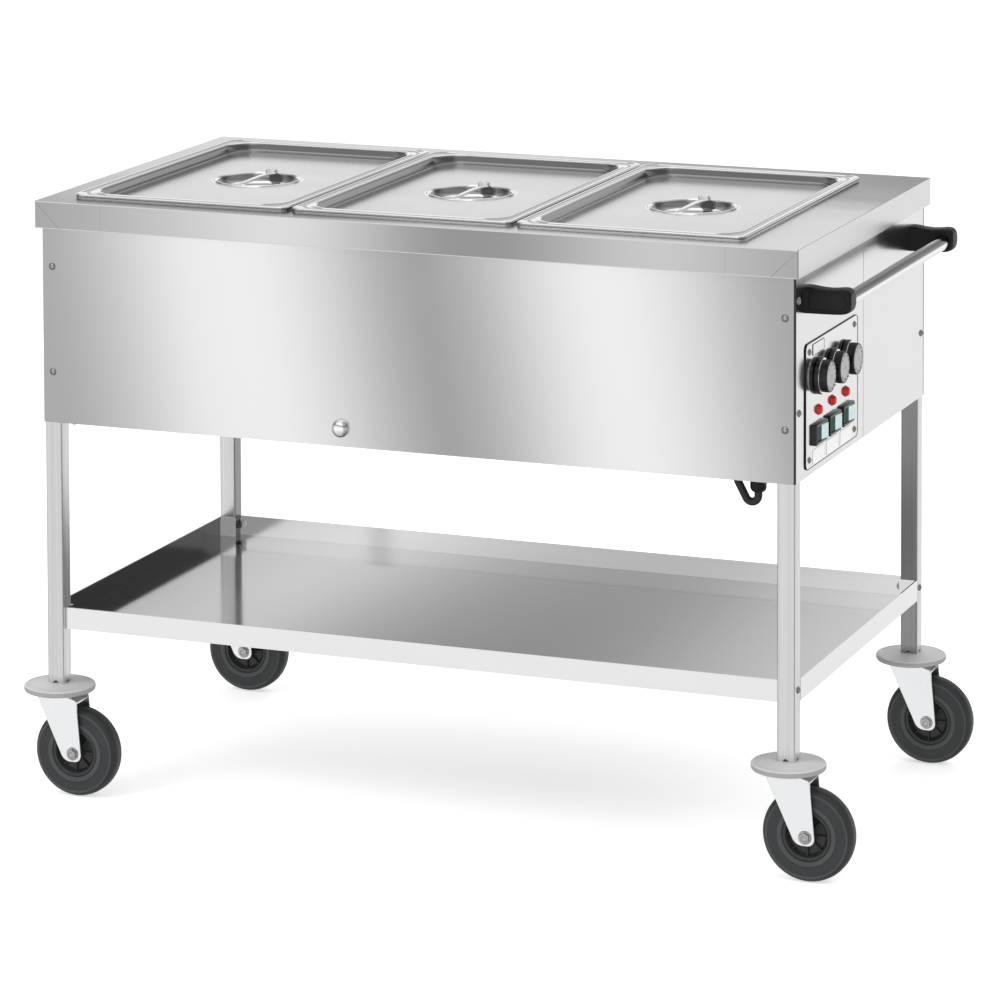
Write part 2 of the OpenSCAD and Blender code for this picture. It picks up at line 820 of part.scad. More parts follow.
// Wires in the body: a loom under the wells' front edge with a pair up to each heater,
// then along the right end to the thermostats, the switches and the terminal block
module wiring() {
    color("darkred") unit() {
        rod_x([well_x - well_pitch - 110, loom_y, loom_z], 5, loom_x - well_x + well_pitch + 114);
        for (i = [-1, 0, 1], side = [-1, 1]) {
            x = well_x + i * well_pitch + side * 1.5 * element_step;
            translate([x, loom_y, loom_z]) cylinder(r = 3, h = element_z - loom_z + 3);
            rod_y([x, loom_y, element_z], 2.5, well_y - element_run - 45 - loom_y);
        }
        rod_y([loom_x, loom_y, loom_z], 4.5, 200);
        at_columns(loom_x, switch_z) {
            translate([0, 0, -4]) cylinder(r = 3, h = knob_z - switch_z + 2);
            rod_x([0, 0, knob_z - switch_z - 5.6], 2, body_x - 42 - loom_x);
            rod_x([0, 0, 0], 2, body_x + plate_t - 28 - loom_x);
        }
        translate([loom_x, -60, block_top]) cylinder(r = 4, h = loom_z - block_top);
    }
}

// The plug lies in line with the cable's straight run
function plug_x() =
    gland_x - loop_bend * (1 - cos(loop_turn)) - (rise + turn_bend) * sin(loop_turn);

module plug() {
    x = plug_x();
    color(black) unit() {
        rod_y([x, plug_y + 1, plug_z], plug_r - 6, 12);
        rod_y([x, plug_y + 12, plug_z], plug_r, plug_len - 12);
        for (i = [-1, 1])
            rod_y([x + i * pin_gap, plug_y + plug_len - 1, plug_z], pin_r, pin_len + 1);
    }
}

// Blind holder under the bottom cover where the plug is parked while the table is moved
module plug_holder() {
    x = plug_x();
    y = plug_y + plug_len + 0.2;
    color(black) unit() difference() {
        union() {
            rod_y([x, y, plug_z], plug_r, pin_len + 4);
            span([x - 14, y, plug_z], [x + 14, y + pin_len + 4, body_bottom + panel_t]);
        }
        for (i = [-1, 1]) rod_y([x + i * pin_gap, y - 1, plug_z], pin_r + 0.2, pin_len + 1.5);
    }
}

module terminal_block() {
    z = body_bottom + 2 * panel_t;
    color("ivory") unit() difference() {
        span([block_x - 14, -120, z], [block_x + 14, -50, block_top]);
        for (i = [0:4]) translate([block_x, -112 + i * 11.6, block_top - 10]) cylinder(r = 3, h = 20);
    }
}

// Grey discs between the casters and the legs that take knocks
module bumper_discs() {
    r = bumper_d / 2;
    color(rubber_grey) unit() at_legs() rotate_extrude() polygon([
        [kingpin_r + 0.1, bumper_z], [r - 4, bumper_z], [r, bumper_z + 2], [r, bumper_z + 8],
        [r - 3, bumper_z + 10], [24, leg_bottom], [kingpin_r + 0.1, leg_bottom]]);
}

// Fixed half of each caster: plug in the leg, kingpin, upper race and kingpin head
module caster_mounts() {
    plug = leg_bore - 0.4;
    color(zinc) unit() at_legs() {
        slab(plug, plug, 1, leg_bottom + 5, 34);
        translate([0, 0, crown_z - 4]) cylinder(r = kingpin_r, h = leg_bottom + 6 - crown_z + 4);
        translate([0, 0, race_z + 0.2]) cylinder(r1 = 27, r2 = 25, h = bumper_z - race_z - 0.2);
        translate([0, 0, crown_z - 4]) cylinder(r = 10, h = 3.8);
    }
}

// Places a caster's moving parts below leg (sx, sy)
module at_caster(sx, sy) {
    unit() translate([sx * leg_x, sy * leg_y, 0]) children();
}

// Point where the tangent from p touches a circle, on the side given by turn
function tangent_point(p, c, r, turn) =
    let (v = p - c, a = atan2(v[1], v[0]) + turn * acos(r / norm(v)))
    c + r * [cos(a), sin(a)];

// Side of the fork in X and Z: wide at the crown, tapering to round corners at the axle
module fork_profile() {
    c1 = [trail + 3, wheel_r - 1.5];
    c2 = [trail - 3, wheel_r + 4.5];
    r1 = 10;
    r2 = 16;
    inset = 0.15;
    left = [trail - 55, crown_z];
    right = [trail + 6.5, crown_z];
    translate(c1) circle(r1);
    translate(c2) circle(r2);
    polygon([left, right, tangent_point(right, c1, r1 - inset, -1), c1 - [0, r1 - inset],
        c2 - [0, r2 - inset], tangent_point(left, c2, r2 - inset, 1)]);
}

// Pressed fork that turns on the kingpin: two sides, a crown and the lower race
module caster_fork(sx, sy) {
    color(zinc) at_caster(sx, sy) difference() {
        union() {
            for (y = [-fork_gap, fork_gap + fork_t])
                translate([0, y, 0]) rotate([90, 0, 0]) linear_extrude(fork_t) fork_profile();
            span([trail - 55, -fork_gap - fork_t, crown_z],
                [trail + 6.5, fork_gap + fork_t, crown_z + 2.5]);
            translate([0, 0, crown_z + 2]) cylinder(r1 = 28, r2 = 26, h = race_z - crown_z - 2.2);
        }
        translate([0, 0, crown_z - 5]) cylinder(r = kingpin_r + run_fit, h = 20);
        rod_y([trail, -40, wheel_r], 4 + hole_play, 80);
    }
}

// Bush between the fork's sides, with the bolt, its head and its nut
module caster_axle(sx, sy) {
    half = fork_gap + fork_t;
    color(zinc) at_caster(sx, sy) {
        rod_y([trail, -fork_gap, wheel_r], axle_r, 2 * fork_gap);
        rod_y([trail, -half - 3, wheel_r], 4, 2 * half + 8);
        translate([trail, -half, wheel_r]) rotate([90, 0, 0]) cylinder(r = 7.5, h = 5, $fn = 6);
        translate([trail, half + 6, wheel_r]) rotate([90, 0, 0])
            cylinder(r = 7.5, h = 6, $fn = 6);
    }
}

module wheel_hub(sx, sy) {
    boss = fork_gap - 0.25;
    color(black) at_caster(sx, sy) translate([trail, 0, wheel_r]) difference() {
        rotate([90, 0, 0]) rotate_extrude() polygon([
            [axle_r, -boss], [11, -boss], [11, -5], [27, -4], [27, 1 - tyre_w / 2],
            [hub_r, 1 - tyre_w / 2], [hub_r, tyre_w / 2 - 1], [27, tyre_w / 2 - 1], [27, 4],
            [11, 5], [11, boss], [axle_r, boss]]);
        rod_y([0, -40, 0], axle_r + run_fit, 80);
    }
}

module tyre(sx, sy) {
    half = tyre_w / 2;
    c = tyre_round;
    color(rubber_grey) at_caster(sx, sy) translate([trail, 0, wheel_r]) rotate([90, 0, 0])
        rotate_extrude() {
            translate([hub_r, -half]) square([wheel_r - c - hub_r, 2 * half]);
            translate([hub_r, -half + c]) square([wheel_r - hub_r, 2 * (half - c)]);
            for (y = [-1, 1]) translate([wheel_r - c, y * (half - c)]) circle(c);
        }
}

// Full-size gastronorm pan hanging by its flange in the worktop's cut-out
module food_pan(i) {
    z0 = pan_rim_z + pan_rim_h - pan_depth;
    color(zinc) unit() translate([well_x + i * well_pitch, well_y, 0]) {
        difference() {
            union() {
                slab(pan_w, pan_d, pan_r, z0, pan_depth);
                slab(lid_w - 1, lid_d - 1, lid_corner_r, pan_rim_z + pan_rim_h - pan_t, pan_t);
            }
            slab(pan_w - 2 * pan_t, pan_d - 2 * pan_t, pan_r - pan_t, z0 + pan_t, pan_depth);
        }
        ring(lid_w - 1, lid_d - 1, lid_corner_r, pan_t, pan_rim_z, pan_rim_h);
    }
}

// Pressed lid: folded rim, sunk panel, round hand recess and a strap to lift it by
module pan_lid(i) {
    top = lid_z + lid_h;
    floor_z = top - lid_sink;
    w = lid_w - 2 * lid_rim_w;
    d = lid_d - 2 * lid_rim_w;
    color(steel) unit() translate([well_x + i * well_pitch, well_y, 0]) {
        ring(lid_w, lid_d, lid_corner_r, lid_t, lid_z, lid_h);
        difference() {
            union() {
                slab(lid_w, lid_d, lid_corner_r, top - lid_t, lid_t);
                slab(w, d, lid_recess_r, floor_z, lid_sink);
            }
            slab(w - 2 * lid_t, d - 2 * lid_t, lid_recess_r - lid_t, floor_z + lid_t, lid_sink);
            translate([0, 0, floor_z - 1]) cylinder(r = bowl_r, h = 3);
        }
        translate([0, 0, floor_z]) rotate_extrude() polygon([
            [0, -bowl_depth], [bowl_floor_r, -bowl_depth], [bowl_r - 2, 0], [ring_r, 0],
            [ring_r, 2], [ring_r - 2, 3], [bowl_r - 1, 3], [bowl_floor_r - 1, 1 - bowl_depth],
            [0, 1 - bowl_depth]]);
        translate([0, 0, floor_z + 2.5]) linear_extrude(strap_t)
            rounded(strap_w, 2 * ring_r - 4, 4);
    }
}

worktop();
front_panel();
rear_panel();
left_end_panel();
right_end_panel_front();
right_end_panel_rear();
base_pan();
legs();
undershelf();
frame_bolts();
panel_screws();
wells();
heating_elements();
insulation_pads();
drain_manifold();
drain_valve();
control_plate();
thermostats();
pilot_lamps();
switch_housings();
label_plates();
wiring();
terminal_block();
handle_brackets();
handle_tube();
cable_gland();
power_cable();
plug();
plug_holder();
bumper_discs();
caster_mounts();
caster_fork(-1, -1);  // caster_fork_front_left
caster_fork(1, -1);  // caster_fork_front_right
caster_fork(-1, 1);  // caster_fork_rear_left
caster_fork(1, 1);  // caster_fork_rear_right
caster_axle(-1, -1);  // caster_axle_front_left
caster_axle(1, -1);  // caster_axle_front_right
caster_axle(-1, 1);  // caster_axle_rear_left
caster_axle(1, 1);  // caster_axle_rear_right
wheel_hub(-1, -1);  // wheel_hub_front_left
wheel_hub(1, -1);  // wheel_hub_front_right
wheel_hub(-1, 1);  // wheel_hub_rear_left
wheel_hub(1, 1);  // wheel_hub_rear_right
tyre(-1, -1);  // tyre_front_left
tyre(1, -1);  // tyre_front_right
tyre(-1, 1);  // tyre_rear_left
tyre(1, 1);  // tyre_rear_right
thermostat_knob(-1);  // thermostat_knob_1
thermostat_knob(0);  // thermostat_knob_2
thermostat_knob(1);  // thermostat_knob_3
switch_rocker(-1);  // switch_rocker_1
switch_rocker(0);  // switch_rocker_2
switch_rocker(1);  // switch_rocker_3
drain_knob();
food_pan(-1);  // food_pan_1
food_pan(0);  // food_pan_2
food_pan(1);  // food_pan_3
pan_lid(-1);  // pan_lid_1
pan_lid(0);  // pan_lid_2
pan_lid(1);  // pan_lid_3
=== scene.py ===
from math import acos, atan2, cos, degrees, dist, hypot, pi, radians, sin

import bmesh
import bpy
from mathutils import Matrix, Vector


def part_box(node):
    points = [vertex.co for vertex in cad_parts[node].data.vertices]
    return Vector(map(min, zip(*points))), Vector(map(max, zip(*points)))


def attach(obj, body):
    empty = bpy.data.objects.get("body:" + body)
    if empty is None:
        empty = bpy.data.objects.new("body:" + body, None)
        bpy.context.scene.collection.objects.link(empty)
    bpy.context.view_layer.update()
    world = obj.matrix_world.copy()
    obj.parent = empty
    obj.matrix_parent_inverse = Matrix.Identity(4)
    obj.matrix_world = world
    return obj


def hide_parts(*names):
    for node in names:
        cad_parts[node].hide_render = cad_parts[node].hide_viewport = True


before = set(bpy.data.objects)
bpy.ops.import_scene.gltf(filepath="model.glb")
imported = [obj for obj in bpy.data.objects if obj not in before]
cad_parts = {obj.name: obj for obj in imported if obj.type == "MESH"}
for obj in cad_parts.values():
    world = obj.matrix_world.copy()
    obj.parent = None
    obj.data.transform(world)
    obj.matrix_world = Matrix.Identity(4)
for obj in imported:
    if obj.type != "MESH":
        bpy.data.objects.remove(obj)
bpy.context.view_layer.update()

SCENE = bpy.context.scene
MM = 0.001
TOP_LO, TOP_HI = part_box("worktop")
MID_X = (TOP_LO.x + TOP_HI.x) / 2 / MM      # the body's centre in X, millimetres
BODY_X = 549      # outer faces of the body's ends
CORNERS = (("front_left", -1, -1), ("front_right", 1, -1), ("rear_left", -1, 1), ("rear_right", 1, 1))
LEG_X, LEG_Y = 535.5, 286.5
TRAIL, WHEEL_R = 29, 62.5      # from the swivel axis to the axle; wheel radius
COLUMNS = (-205, -144, -83)      # Y of each knob, lamp and switch
WELLS, WELL_Y = (-353.5, -23.5, 306.5), -7


# ---- shapes
# Shapes are in millimetres, from the floor below the body's centre.

class Shape:
    """Vertices and faces of one piece; tag is the index of a face's material."""

    def __init__(self):
        self.verts, self.faces, self.tags = [], [], []

    def add(self, verts, faces, place=None, tag=0):
        start = len(self.verts)
        for v in verts:
            v = Vector(v)
            self.verts.append(place @ v if place else v)
        for f in faces:
            self.faces.append([start + i for i in f])
            self.tags.append(tag)
        return self


def moved(x, y, z):
    return Matrix.Translation((x, y, z))


def along(pos, axis):
    """Matrix that takes local Z to axis at pos."""
    turn = Vector((0, 0, 1)).rotation_difference(Vector(axis)).to_matrix().to_4x4()
    return moved(*pos) @ turn


def loft(loops, ring=False):
    """Closed skin over loops that have the same number of points."""
    n, count = len(loops[0]), len(loops)
    faces = []
    for i in range(count if ring else count - 1):
        a, b = i * n, (i + 1) % count * n
        for j in range(n):
            k = (j + 1) % n
            faces.append((a + j, a + k, b + k, b + j))
    if not ring:
        faces.append(tuple(range(n)))
        faces.append(tuple((count - 1) * n + j for j in range(n)))
    return [p for loop in loops for p in loop], faces


def circle(r, z, n=64, wave=0, lobes=0):
    """Circle at height z; wave and lobes give it flutes."""
    points = []
    for j in range(n):
        a = 2 * pi * (j + 0.5) / n
        q = r - wave * max(0, cos(lobes * a)) ** 2
        points.append((q * cos(a), q * sin(a), z))
    return points


def lathe(profile, n=64, ring=False):
    """Turned shape from (radius, height) pairs."""
    return loft([circle(r, z, n) for r, z in profile], ring=ring)


def rect(w, d, r, z, n=8):
    """Rectangle with round corners at height z."""
    r = max(r, 0.05)
    points = []
    for q, (sx, sy) in enumerate(((1, 1), (-1, 1), (-1, -1), (1, -1))):
        for k in range(n + 1):
            a = radians(90 * q + 90 * k / n)
            points.append((sx * (w / 2 - r) + r * cos(a), sy * (d / 2 - r) + r * sin(a), z))
    return points


def rect_circle(r, z, n=8):
    """Circle whose points match those of rect."""
    return [(r * cos(a), r * sin(a), z) for a in
            (radians(90 * q + 90 * (k + 0.5) / (n + 1)) for q in range(4) for k in range(n + 1))]


def mix_loops(a, b, t):
    """Loop that lies the part t of the way from a to b."""
    return [tuple(p[i] + (q[i] - p[i]) * t for i in range(3)) for p, q in zip(a, b)]


def offset(outline, d):
    """Outline in a plane, moved inward by d. The outline turns counterclockwise."""
    out, n = [], len(outline)
    for i in range(n):
        p, q, s = Vector(outline[i - 1]), Vector(outline[i]), Vector(outline[(i + 1) % n])
        e, f = (q - p).normalized(), (s - q).normalized()
        m = Vector((-e.y - f.y, e.x + f.x))
        m = m / max(m.length_squared / 2, 0.5)
        out.append(tuple(q + m * d))
    return out


def prism(outline, z0, z1, bevel=0.4):
    """Extruded outline with bevelled ends."""
    small = offset(outline, bevel)
    loops = [[(x, y, z) for x, y in line] for line, z in
             ((small, z0), (outline, z0 + bevel), (outline, z1 - bevel), (small, z1))]
    return loft(loops)


def arc(cx, cy, r, a0, a1, n=10):
    """Points on an arc in a plane, from angle a0 to a1 in degrees."""
    return [(cx + r * cos(radians(a0 + (a1 - a0) * k / n)),
             cy + r * sin(radians(a0 + (a1 - a0) * k / n))) for k in range(n + 1)]


def sweep(path, r, n=20):
    """Round rod along a path of points."""
    path = [Vector(p) for p in path]
    loops, side = [], None
    for i, p in enumerate(path):
        t = (path[min(i + 1, len(path) - 1)] - path[max(i - 1, 0)]).normalized()
        side = (side or Vector((0.3, 1, 0.2)))
        side = (side - t * side.dot(t)).normalized()
        other = t.cross(side)
        loops.append([p + (side * cos(a) + other * sin(a)) * r
                      for a in (2 * pi * j / n for j in range(n))])
    return loft(loops)


def make(shape, name, body, materials, replaces=(), sharp=32):
    """Puts a shape in the scene as a piece that rides on a body."""
    mesh = bpy.data.meshes.new(name)
    bm = bmesh.new()
    points = [bm.verts.new(((v.x + MID_X) * MM, v.y * MM, v.z * MM)) for v in shape.verts]
    for f, tag in zip(shape.faces, shape.tags):
        face = bm.faces.new([points[i] for i in f])
        face.material_index = tag
        face.smooth = True
    bmesh.ops.recalc_face_normals(bm, faces=bm.faces)
    limit = radians(sharp)
    for e in bm.edges:
        if len(e.link_faces) == 2 and e.calc_face_angle(0) > limit:
            e.smooth = False
    bm.to_mesh(mesh)
    bm.free()
    for m in materials:
        mesh.materials.append(m)
    obj = bpy.data.objects.new(name, mesh)
    SCENE.collection.objects.link(obj)
    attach(obj, body)
    if replaces:
        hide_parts(*replaces)
    return obj


# ---- materials

class Nodes:
    """Builds one node tree."""

    def __init__(self, tree):
        self.tree = tree
        tree.nodes.clear()

    def add(self, kind, inputs=None, **props):
        node = self.tree.nodes.new(kind)
        for key, value in props.items():
            setattr(node, key, value)
        for key, value in (inputs or {}).items():
            if isinstance(value, bpy.types.NodeSocket):
                self.tree.links.new(value, node.inputs[key])
            else:
                node.inputs[key].default_value = value
        return node

    def math(self, operation, a, b=0):
        return self.add("ShaderNodeMath", {0: a, 1: b}, operation=operation).outputs[0]

    def ramp(self, fac, stops, smooth="LINEAR"):
        node = self.add("ShaderNodeValToRGB", {"Fac": fac})
        node.color_ramp.interpolation = smooth
        elements = node.color_ramp.elements
        while len(elements) < len(stops):
            elements.new(0.5)
        for element, (pos, value) in zip(elements, stops):
            element.position = pos
            value = value if isinstance(value, tuple) else (value, value, value)
            element.color = (*value, 1)
        return node.outputs["Color"]

    def times(self, a, b):
        node = self.add("ShaderNodeMix", data_type="RGBA", blend_type="MULTIPLY")
        node.inputs[0].default_value = 1
        for index, value in ((6, a), (7, b)):
            if isinstance(value, bpy.types.NodeSocket):
                self.tree.links.new(value, node.inputs[index])
            else:
                node.inputs[index].default_value = value
        return node.outputs[2]

    def xyz(self, vector):
        return self.add("ShaderNodeSeparateXYZ", {0: vector}).outputs

    def facing(self):
        """X, Y and Z of the surface's normal."""
        return self.xyz(self.add("ShaderNodeNewGeometry").outputs["Normal"])

    def above(self, value, limit):
        return self.math("GREATER_THAN", value, limit)

    def below(self, value, limit):
        return self.math("LESS_THAN", value, limit)

    def both(self, a, b):
        return self.math("MULTIPLY", a, b)

    def grey(self, value):
        return self.add("ShaderNodeCombineColor", {0: value, 1: value, 2: value}).outputs[0]

    def darker(self, mask, depth):
        """White, darkened by depth where the mask is one."""
        return self.grey(self.math("SUBTRACT", 1, self.math("MULTIPLY", mask, depth)))

    def varied(self, noise, depth):
        """A noise centred on zero and scaled."""
        return self.math("MULTIPLY", self.math("SUBTRACT", noise, 0.5), depth)

    def noise(self, coords, scale, detail=2, rough=0.5):
        node = self.add("ShaderNodeTexNoise", {"Vector": coords, "Scale": scale, "Detail": detail,
                                               "Roughness": rough})
        return node.outputs["Fac"]

    def stretched(self, scale):
        coords = self.add("ShaderNodeTexCoord").outputs["Object"]
        return self.add("ShaderNodeMapping", {"Vector": coords, "Scale": scale}).outputs["Vector"]


def new_material(name):
    material = bpy.data.materials.new(name)
    material.use_nodes = True
    return material, Nodes(material.node_tree)


GRAIN = {"Z": (260, 260, 1.2), "X": (5, 1100, 1100), "Y": (1100, 5, 1100),
         "none": (500, 500, 500)}


def steel(name, base, rough, grain="none", aniso=0, bump=0.05, tint=(1, 1, 1), shade=None,
          grain_depth=0.1, cloud_depth=0.06, cloud_scale=5, glow=None):
    """Metal with brush grain, smudges and small changes of roughness. shade paints light and shade into its
    colour, glow paints a glow on it.
    """
    material, n = new_material(name)
    fine = n.noise(n.stretched(GRAIN[grain]), 1, 3, 0.6)
    coords = n.add("ShaderNodeTexCoord").outputs["Object"]
    cloud = n.noise(coords, cloud_scale, 4, 0.55)
    level = n.math("ADD", n.varied(fine, grain_depth), n.varied(cloud, cloud_depth))
    level = n.grey(n.math("ADD", level, 1))
    color = n.times((base * tint[0], base * tint[1], base * tint[2], 1), level)
    if shade:
        color = n.times(color, shade(n, coords))
    roughness = n.math("ADD", rough, n.math("ADD", n.varied(fine, 0.12), n.varied(cloud, 0.1)))
    normal = n.add("ShaderNodeBump", {"Strength": bump, "Distance": 0.0002, "Height": fine}).outputs[0]
    inputs = {"Base Color": color, "Metallic": 1, "Roughness": roughness, "Normal": normal}
    if glow:
        inputs["Emission Color"] = (1, 1, 1, 1)
        inputs["Emission Strength"] = glow(n, coords)
    if aniso:
        inputs["Anisotropic"] = aniso
        inputs["Anisotropic Rotation"] = 0.25
        inputs["Tangent"] = n.add("ShaderNodeTangent", direction_type="RADIAL", axis="Z").outputs[0]
    shader = n.add("ShaderNodeBsdfPrincipled", inputs)
    n.add("ShaderNodeOutputMaterial", {"Surface": shader.outputs[0]})
    return material


def moulded(name, color, rough, speckle=700, bump=0.1, vary=0.15, coat=0, glow=0,
            specular=0.4, shade=None):
    """Plastic or rubber with a fine texture, dust and uneven sheen. shade paints light and shade into its
    colour.
    """
    material, n = new_material(name)
    coords = n.add("ShaderNodeTexCoord").outputs["Object"]
    fine = n.noise(coords, speckle, 3, 0.6)
    cloud = n.noise(coords, 22, 4, 0.6)
    level = n.grey(n.math("ADD", 1 - vary, n.math("MULTIPLY", cloud, 2 * vary)))
    base = n.times((*color, 1), level)
    if shade:
        base = n.times(base, shade(n, coords))
    roughness = n.math("ADD", rough - 0.06, n.math("MULTIPLY", cloud, 0.14))
    normal = n.add("ShaderNodeBump", {"Strength": bump, "Distance": 0.0003, "Height": fine}).outputs[0]
    inputs = {"Base Color": base, "Roughness": roughness, "Normal": normal, "Coat Weight": coat,
              "Coat Roughness": 0.08, "Specular IOR Level": specular}
    if glow:
        inputs["Emission Color"] = (*color, 1)
        inputs["Emission Strength"] = glow
    shader = n.add("ShaderNodeBsdfPrincipled", inputs)
    n.add("ShaderNodeOutputMaterial", {"Surface": shader.outputs[0]})
    return material


# Painted light and shade that the materials carry in their colour, as functions of place and of the way a
# face
# looks: painted reflection bands, painted sheen, painted shade and a painted glow. FACES is the cosine from
# which a face counts as looking along an axis. Lengths in the node trees are metres.
FACES = 0.7
BODY_LENGTH = 1.1
TOP_EDGE, SHELF_END = 0.5546, 0.5474      # from the body's centre to the worktop's edge, inner shelf wall
# Brightness stops of the painted reflection bands on panels, skirt and shelf, the worktop's painted sheen
# and the grip's painted reflection.
PANEL_STOPS = ((0, 0.44), (0.06, 0.5), (0.14, 0.72), (0.21, 0.92), (0.32, 0.96), (0.41, 0.72), (0.5, 0.4),
               (0.56, 0.4), (0.64, 0.62), (0.72, 0.92), (0.8, 0.96), (0.88, 0.78), (0.95, 0.52),
               (1, 0.42))
SKIRT_STOPS = ((0, 0.42), (0.12, 0.52), (0.25, 0.74), (0.34, 0.82), (0.42, 0.66), (0.52, 0.34),
               (0.62, 0.32), (0.7, 0.44), (0.8, 0.66), (0.88, 0.62), (1, 0.42))
SHELF_STOPS = ((0, 0.5), (0.1, 0.6), (0.22, 0.8), (0.34, 0.5), (0.46, 0.27), (0.6, 0.19), (0.72, 0.25),
               (0.84, 0.5), (1, 0.85))
TOP_STOPS = ((0, 0.94), (0.3, 0.92), (0.48, 0.84), (0.56, 0.6), (0.68, 0.3), (0.92, 0.13))
GRIP_STOPS = ((0, 0.7), (0.3, 1), (0.58, 1), (0.68, 0.24), (0.9, 0.2), (1, 0.5))


def from_middle(n, axes):
    """Distance to the right of the body's centre."""
    return n.math("SUBTRACT", axes[0], MID_X * MM)


def panel_shade(stops, lean):
    """Painted reflection: soft upright bands that lean a little."""
    panel_z = 0.68
    start = 0.5 - MID_X * MM / BODY_LENGTH - lean * panel_z / BODY_LENGTH

    def build(n, coords):
        axes = n.xyz(coords)
        place = n.math("ADD", axes[0], n.math("MULTIPLY", axes[2], lean))
        return n.ramp(n.math("ADD", n.math("DIVIDE", place, BODY_LENGTH), start), stops, "B_SPLINE")
    return build


def top_shade(n, coords):
    """Painted reflection: the worktop's sheen falls towards its rear right corner, and a painted dark line
    runs along its right edge.
    """
    axes, facing = n.xyz(coords), n.facing()
    right = from_middle(n, axes)
    corner = n.math("MAXIMUM", n.math("DIVIDE", right, 0.55), -0.25)
    corner = n.math("MULTIPLY", corner, n.math("DIVIDE", axes[1], 0.3))
    corner = n.both(corner, n.above(facing[2], FACES))
    sheen = n.ramp(n.math("ADD", n.math("MULTIPLY", corner, 0.5), 0.5), TOP_STOPS, "EASE")
    edge = n.both(n.above(right, TOP_EDGE), n.below(facing[0], 0.5))
    return n.times(sheen, n.darker(edge, 0.75))


def shelf_shade(n, coords):
    """Painted reflection bands along the polished floor, and painted shade inside the two end walls."""
    axes, facing = n.xyz(coords), n.facing()
    off_centre = n.math("ABSOLUTE", from_middle(n, axes))
    inner_end = n.both(n.above(n.math("ABSOLUTE", facing[0]), FACES), n.below(off_centre, SHELF_END))
    level = n.above(n.math("ABSOLUTE", facing[2]), FACES)
    wall = n.math("SUBTRACT", 1, n.math("MULTIPLY", inner_end, 0.88))
    wall = n.math("MAXIMUM", wall, level)
    bands = panel_shade(SHELF_STOPS, 0)(n, coords)
    plain = n.add("ShaderNodeMix", data_type="RGBA")
    n.tree.links.new(level, plain.inputs[0])
    plain.inputs[6].default_value = (0.92, 0.92, 0.92, 1)
    n.tree.links.new(bands, plain.inputs[7])
    return n.times(plain.outputs[2], n.grey(wall))


def shelf_glow(n, coords):
    """Painted light: a faint glow on the inside of the shelf's rear rim, in place of the light it would
    gather under the body.
    """
    axes, facing = n.xyz(coords), n.facing()
    return n.math("MULTIPLY", n.both(n.below(facing[1], -FACES), n.above(axes[1], 0)), 0.2)


def leg_shade(n, coords):
    """The rear right leg's front face and the rear left leg's inner face lie in shade."""
    axes, facing = n.xyz(coords), n.facing()
    right = from_middle(n, axes)
    front_face = n.both(n.below(facing[1], -FACES), n.above(right, 0))
    inner_face = n.both(n.above(facing[0], FACES), n.below(right, 0))
    shaded = n.both(n.math("ADD", front_face, inner_face), n.above(axes[1], 0))
    return n.darker(shaded, 0.6)


def grip_shade(n, _):
    """The tube mirrors a dark ceiling on its upper side."""
    height = n.math("ADD", n.math("MULTIPLY", n.facing()[2], 0.5), 0.5)
    return n.ramp(height, GRIP_STOPS)


def bumper_shade(n, _):
    """Painted shade: the rim band is darker than the top."""
    return n.ramp(n.facing()[2], ((0.15, 0.45), (0.75, 1)))
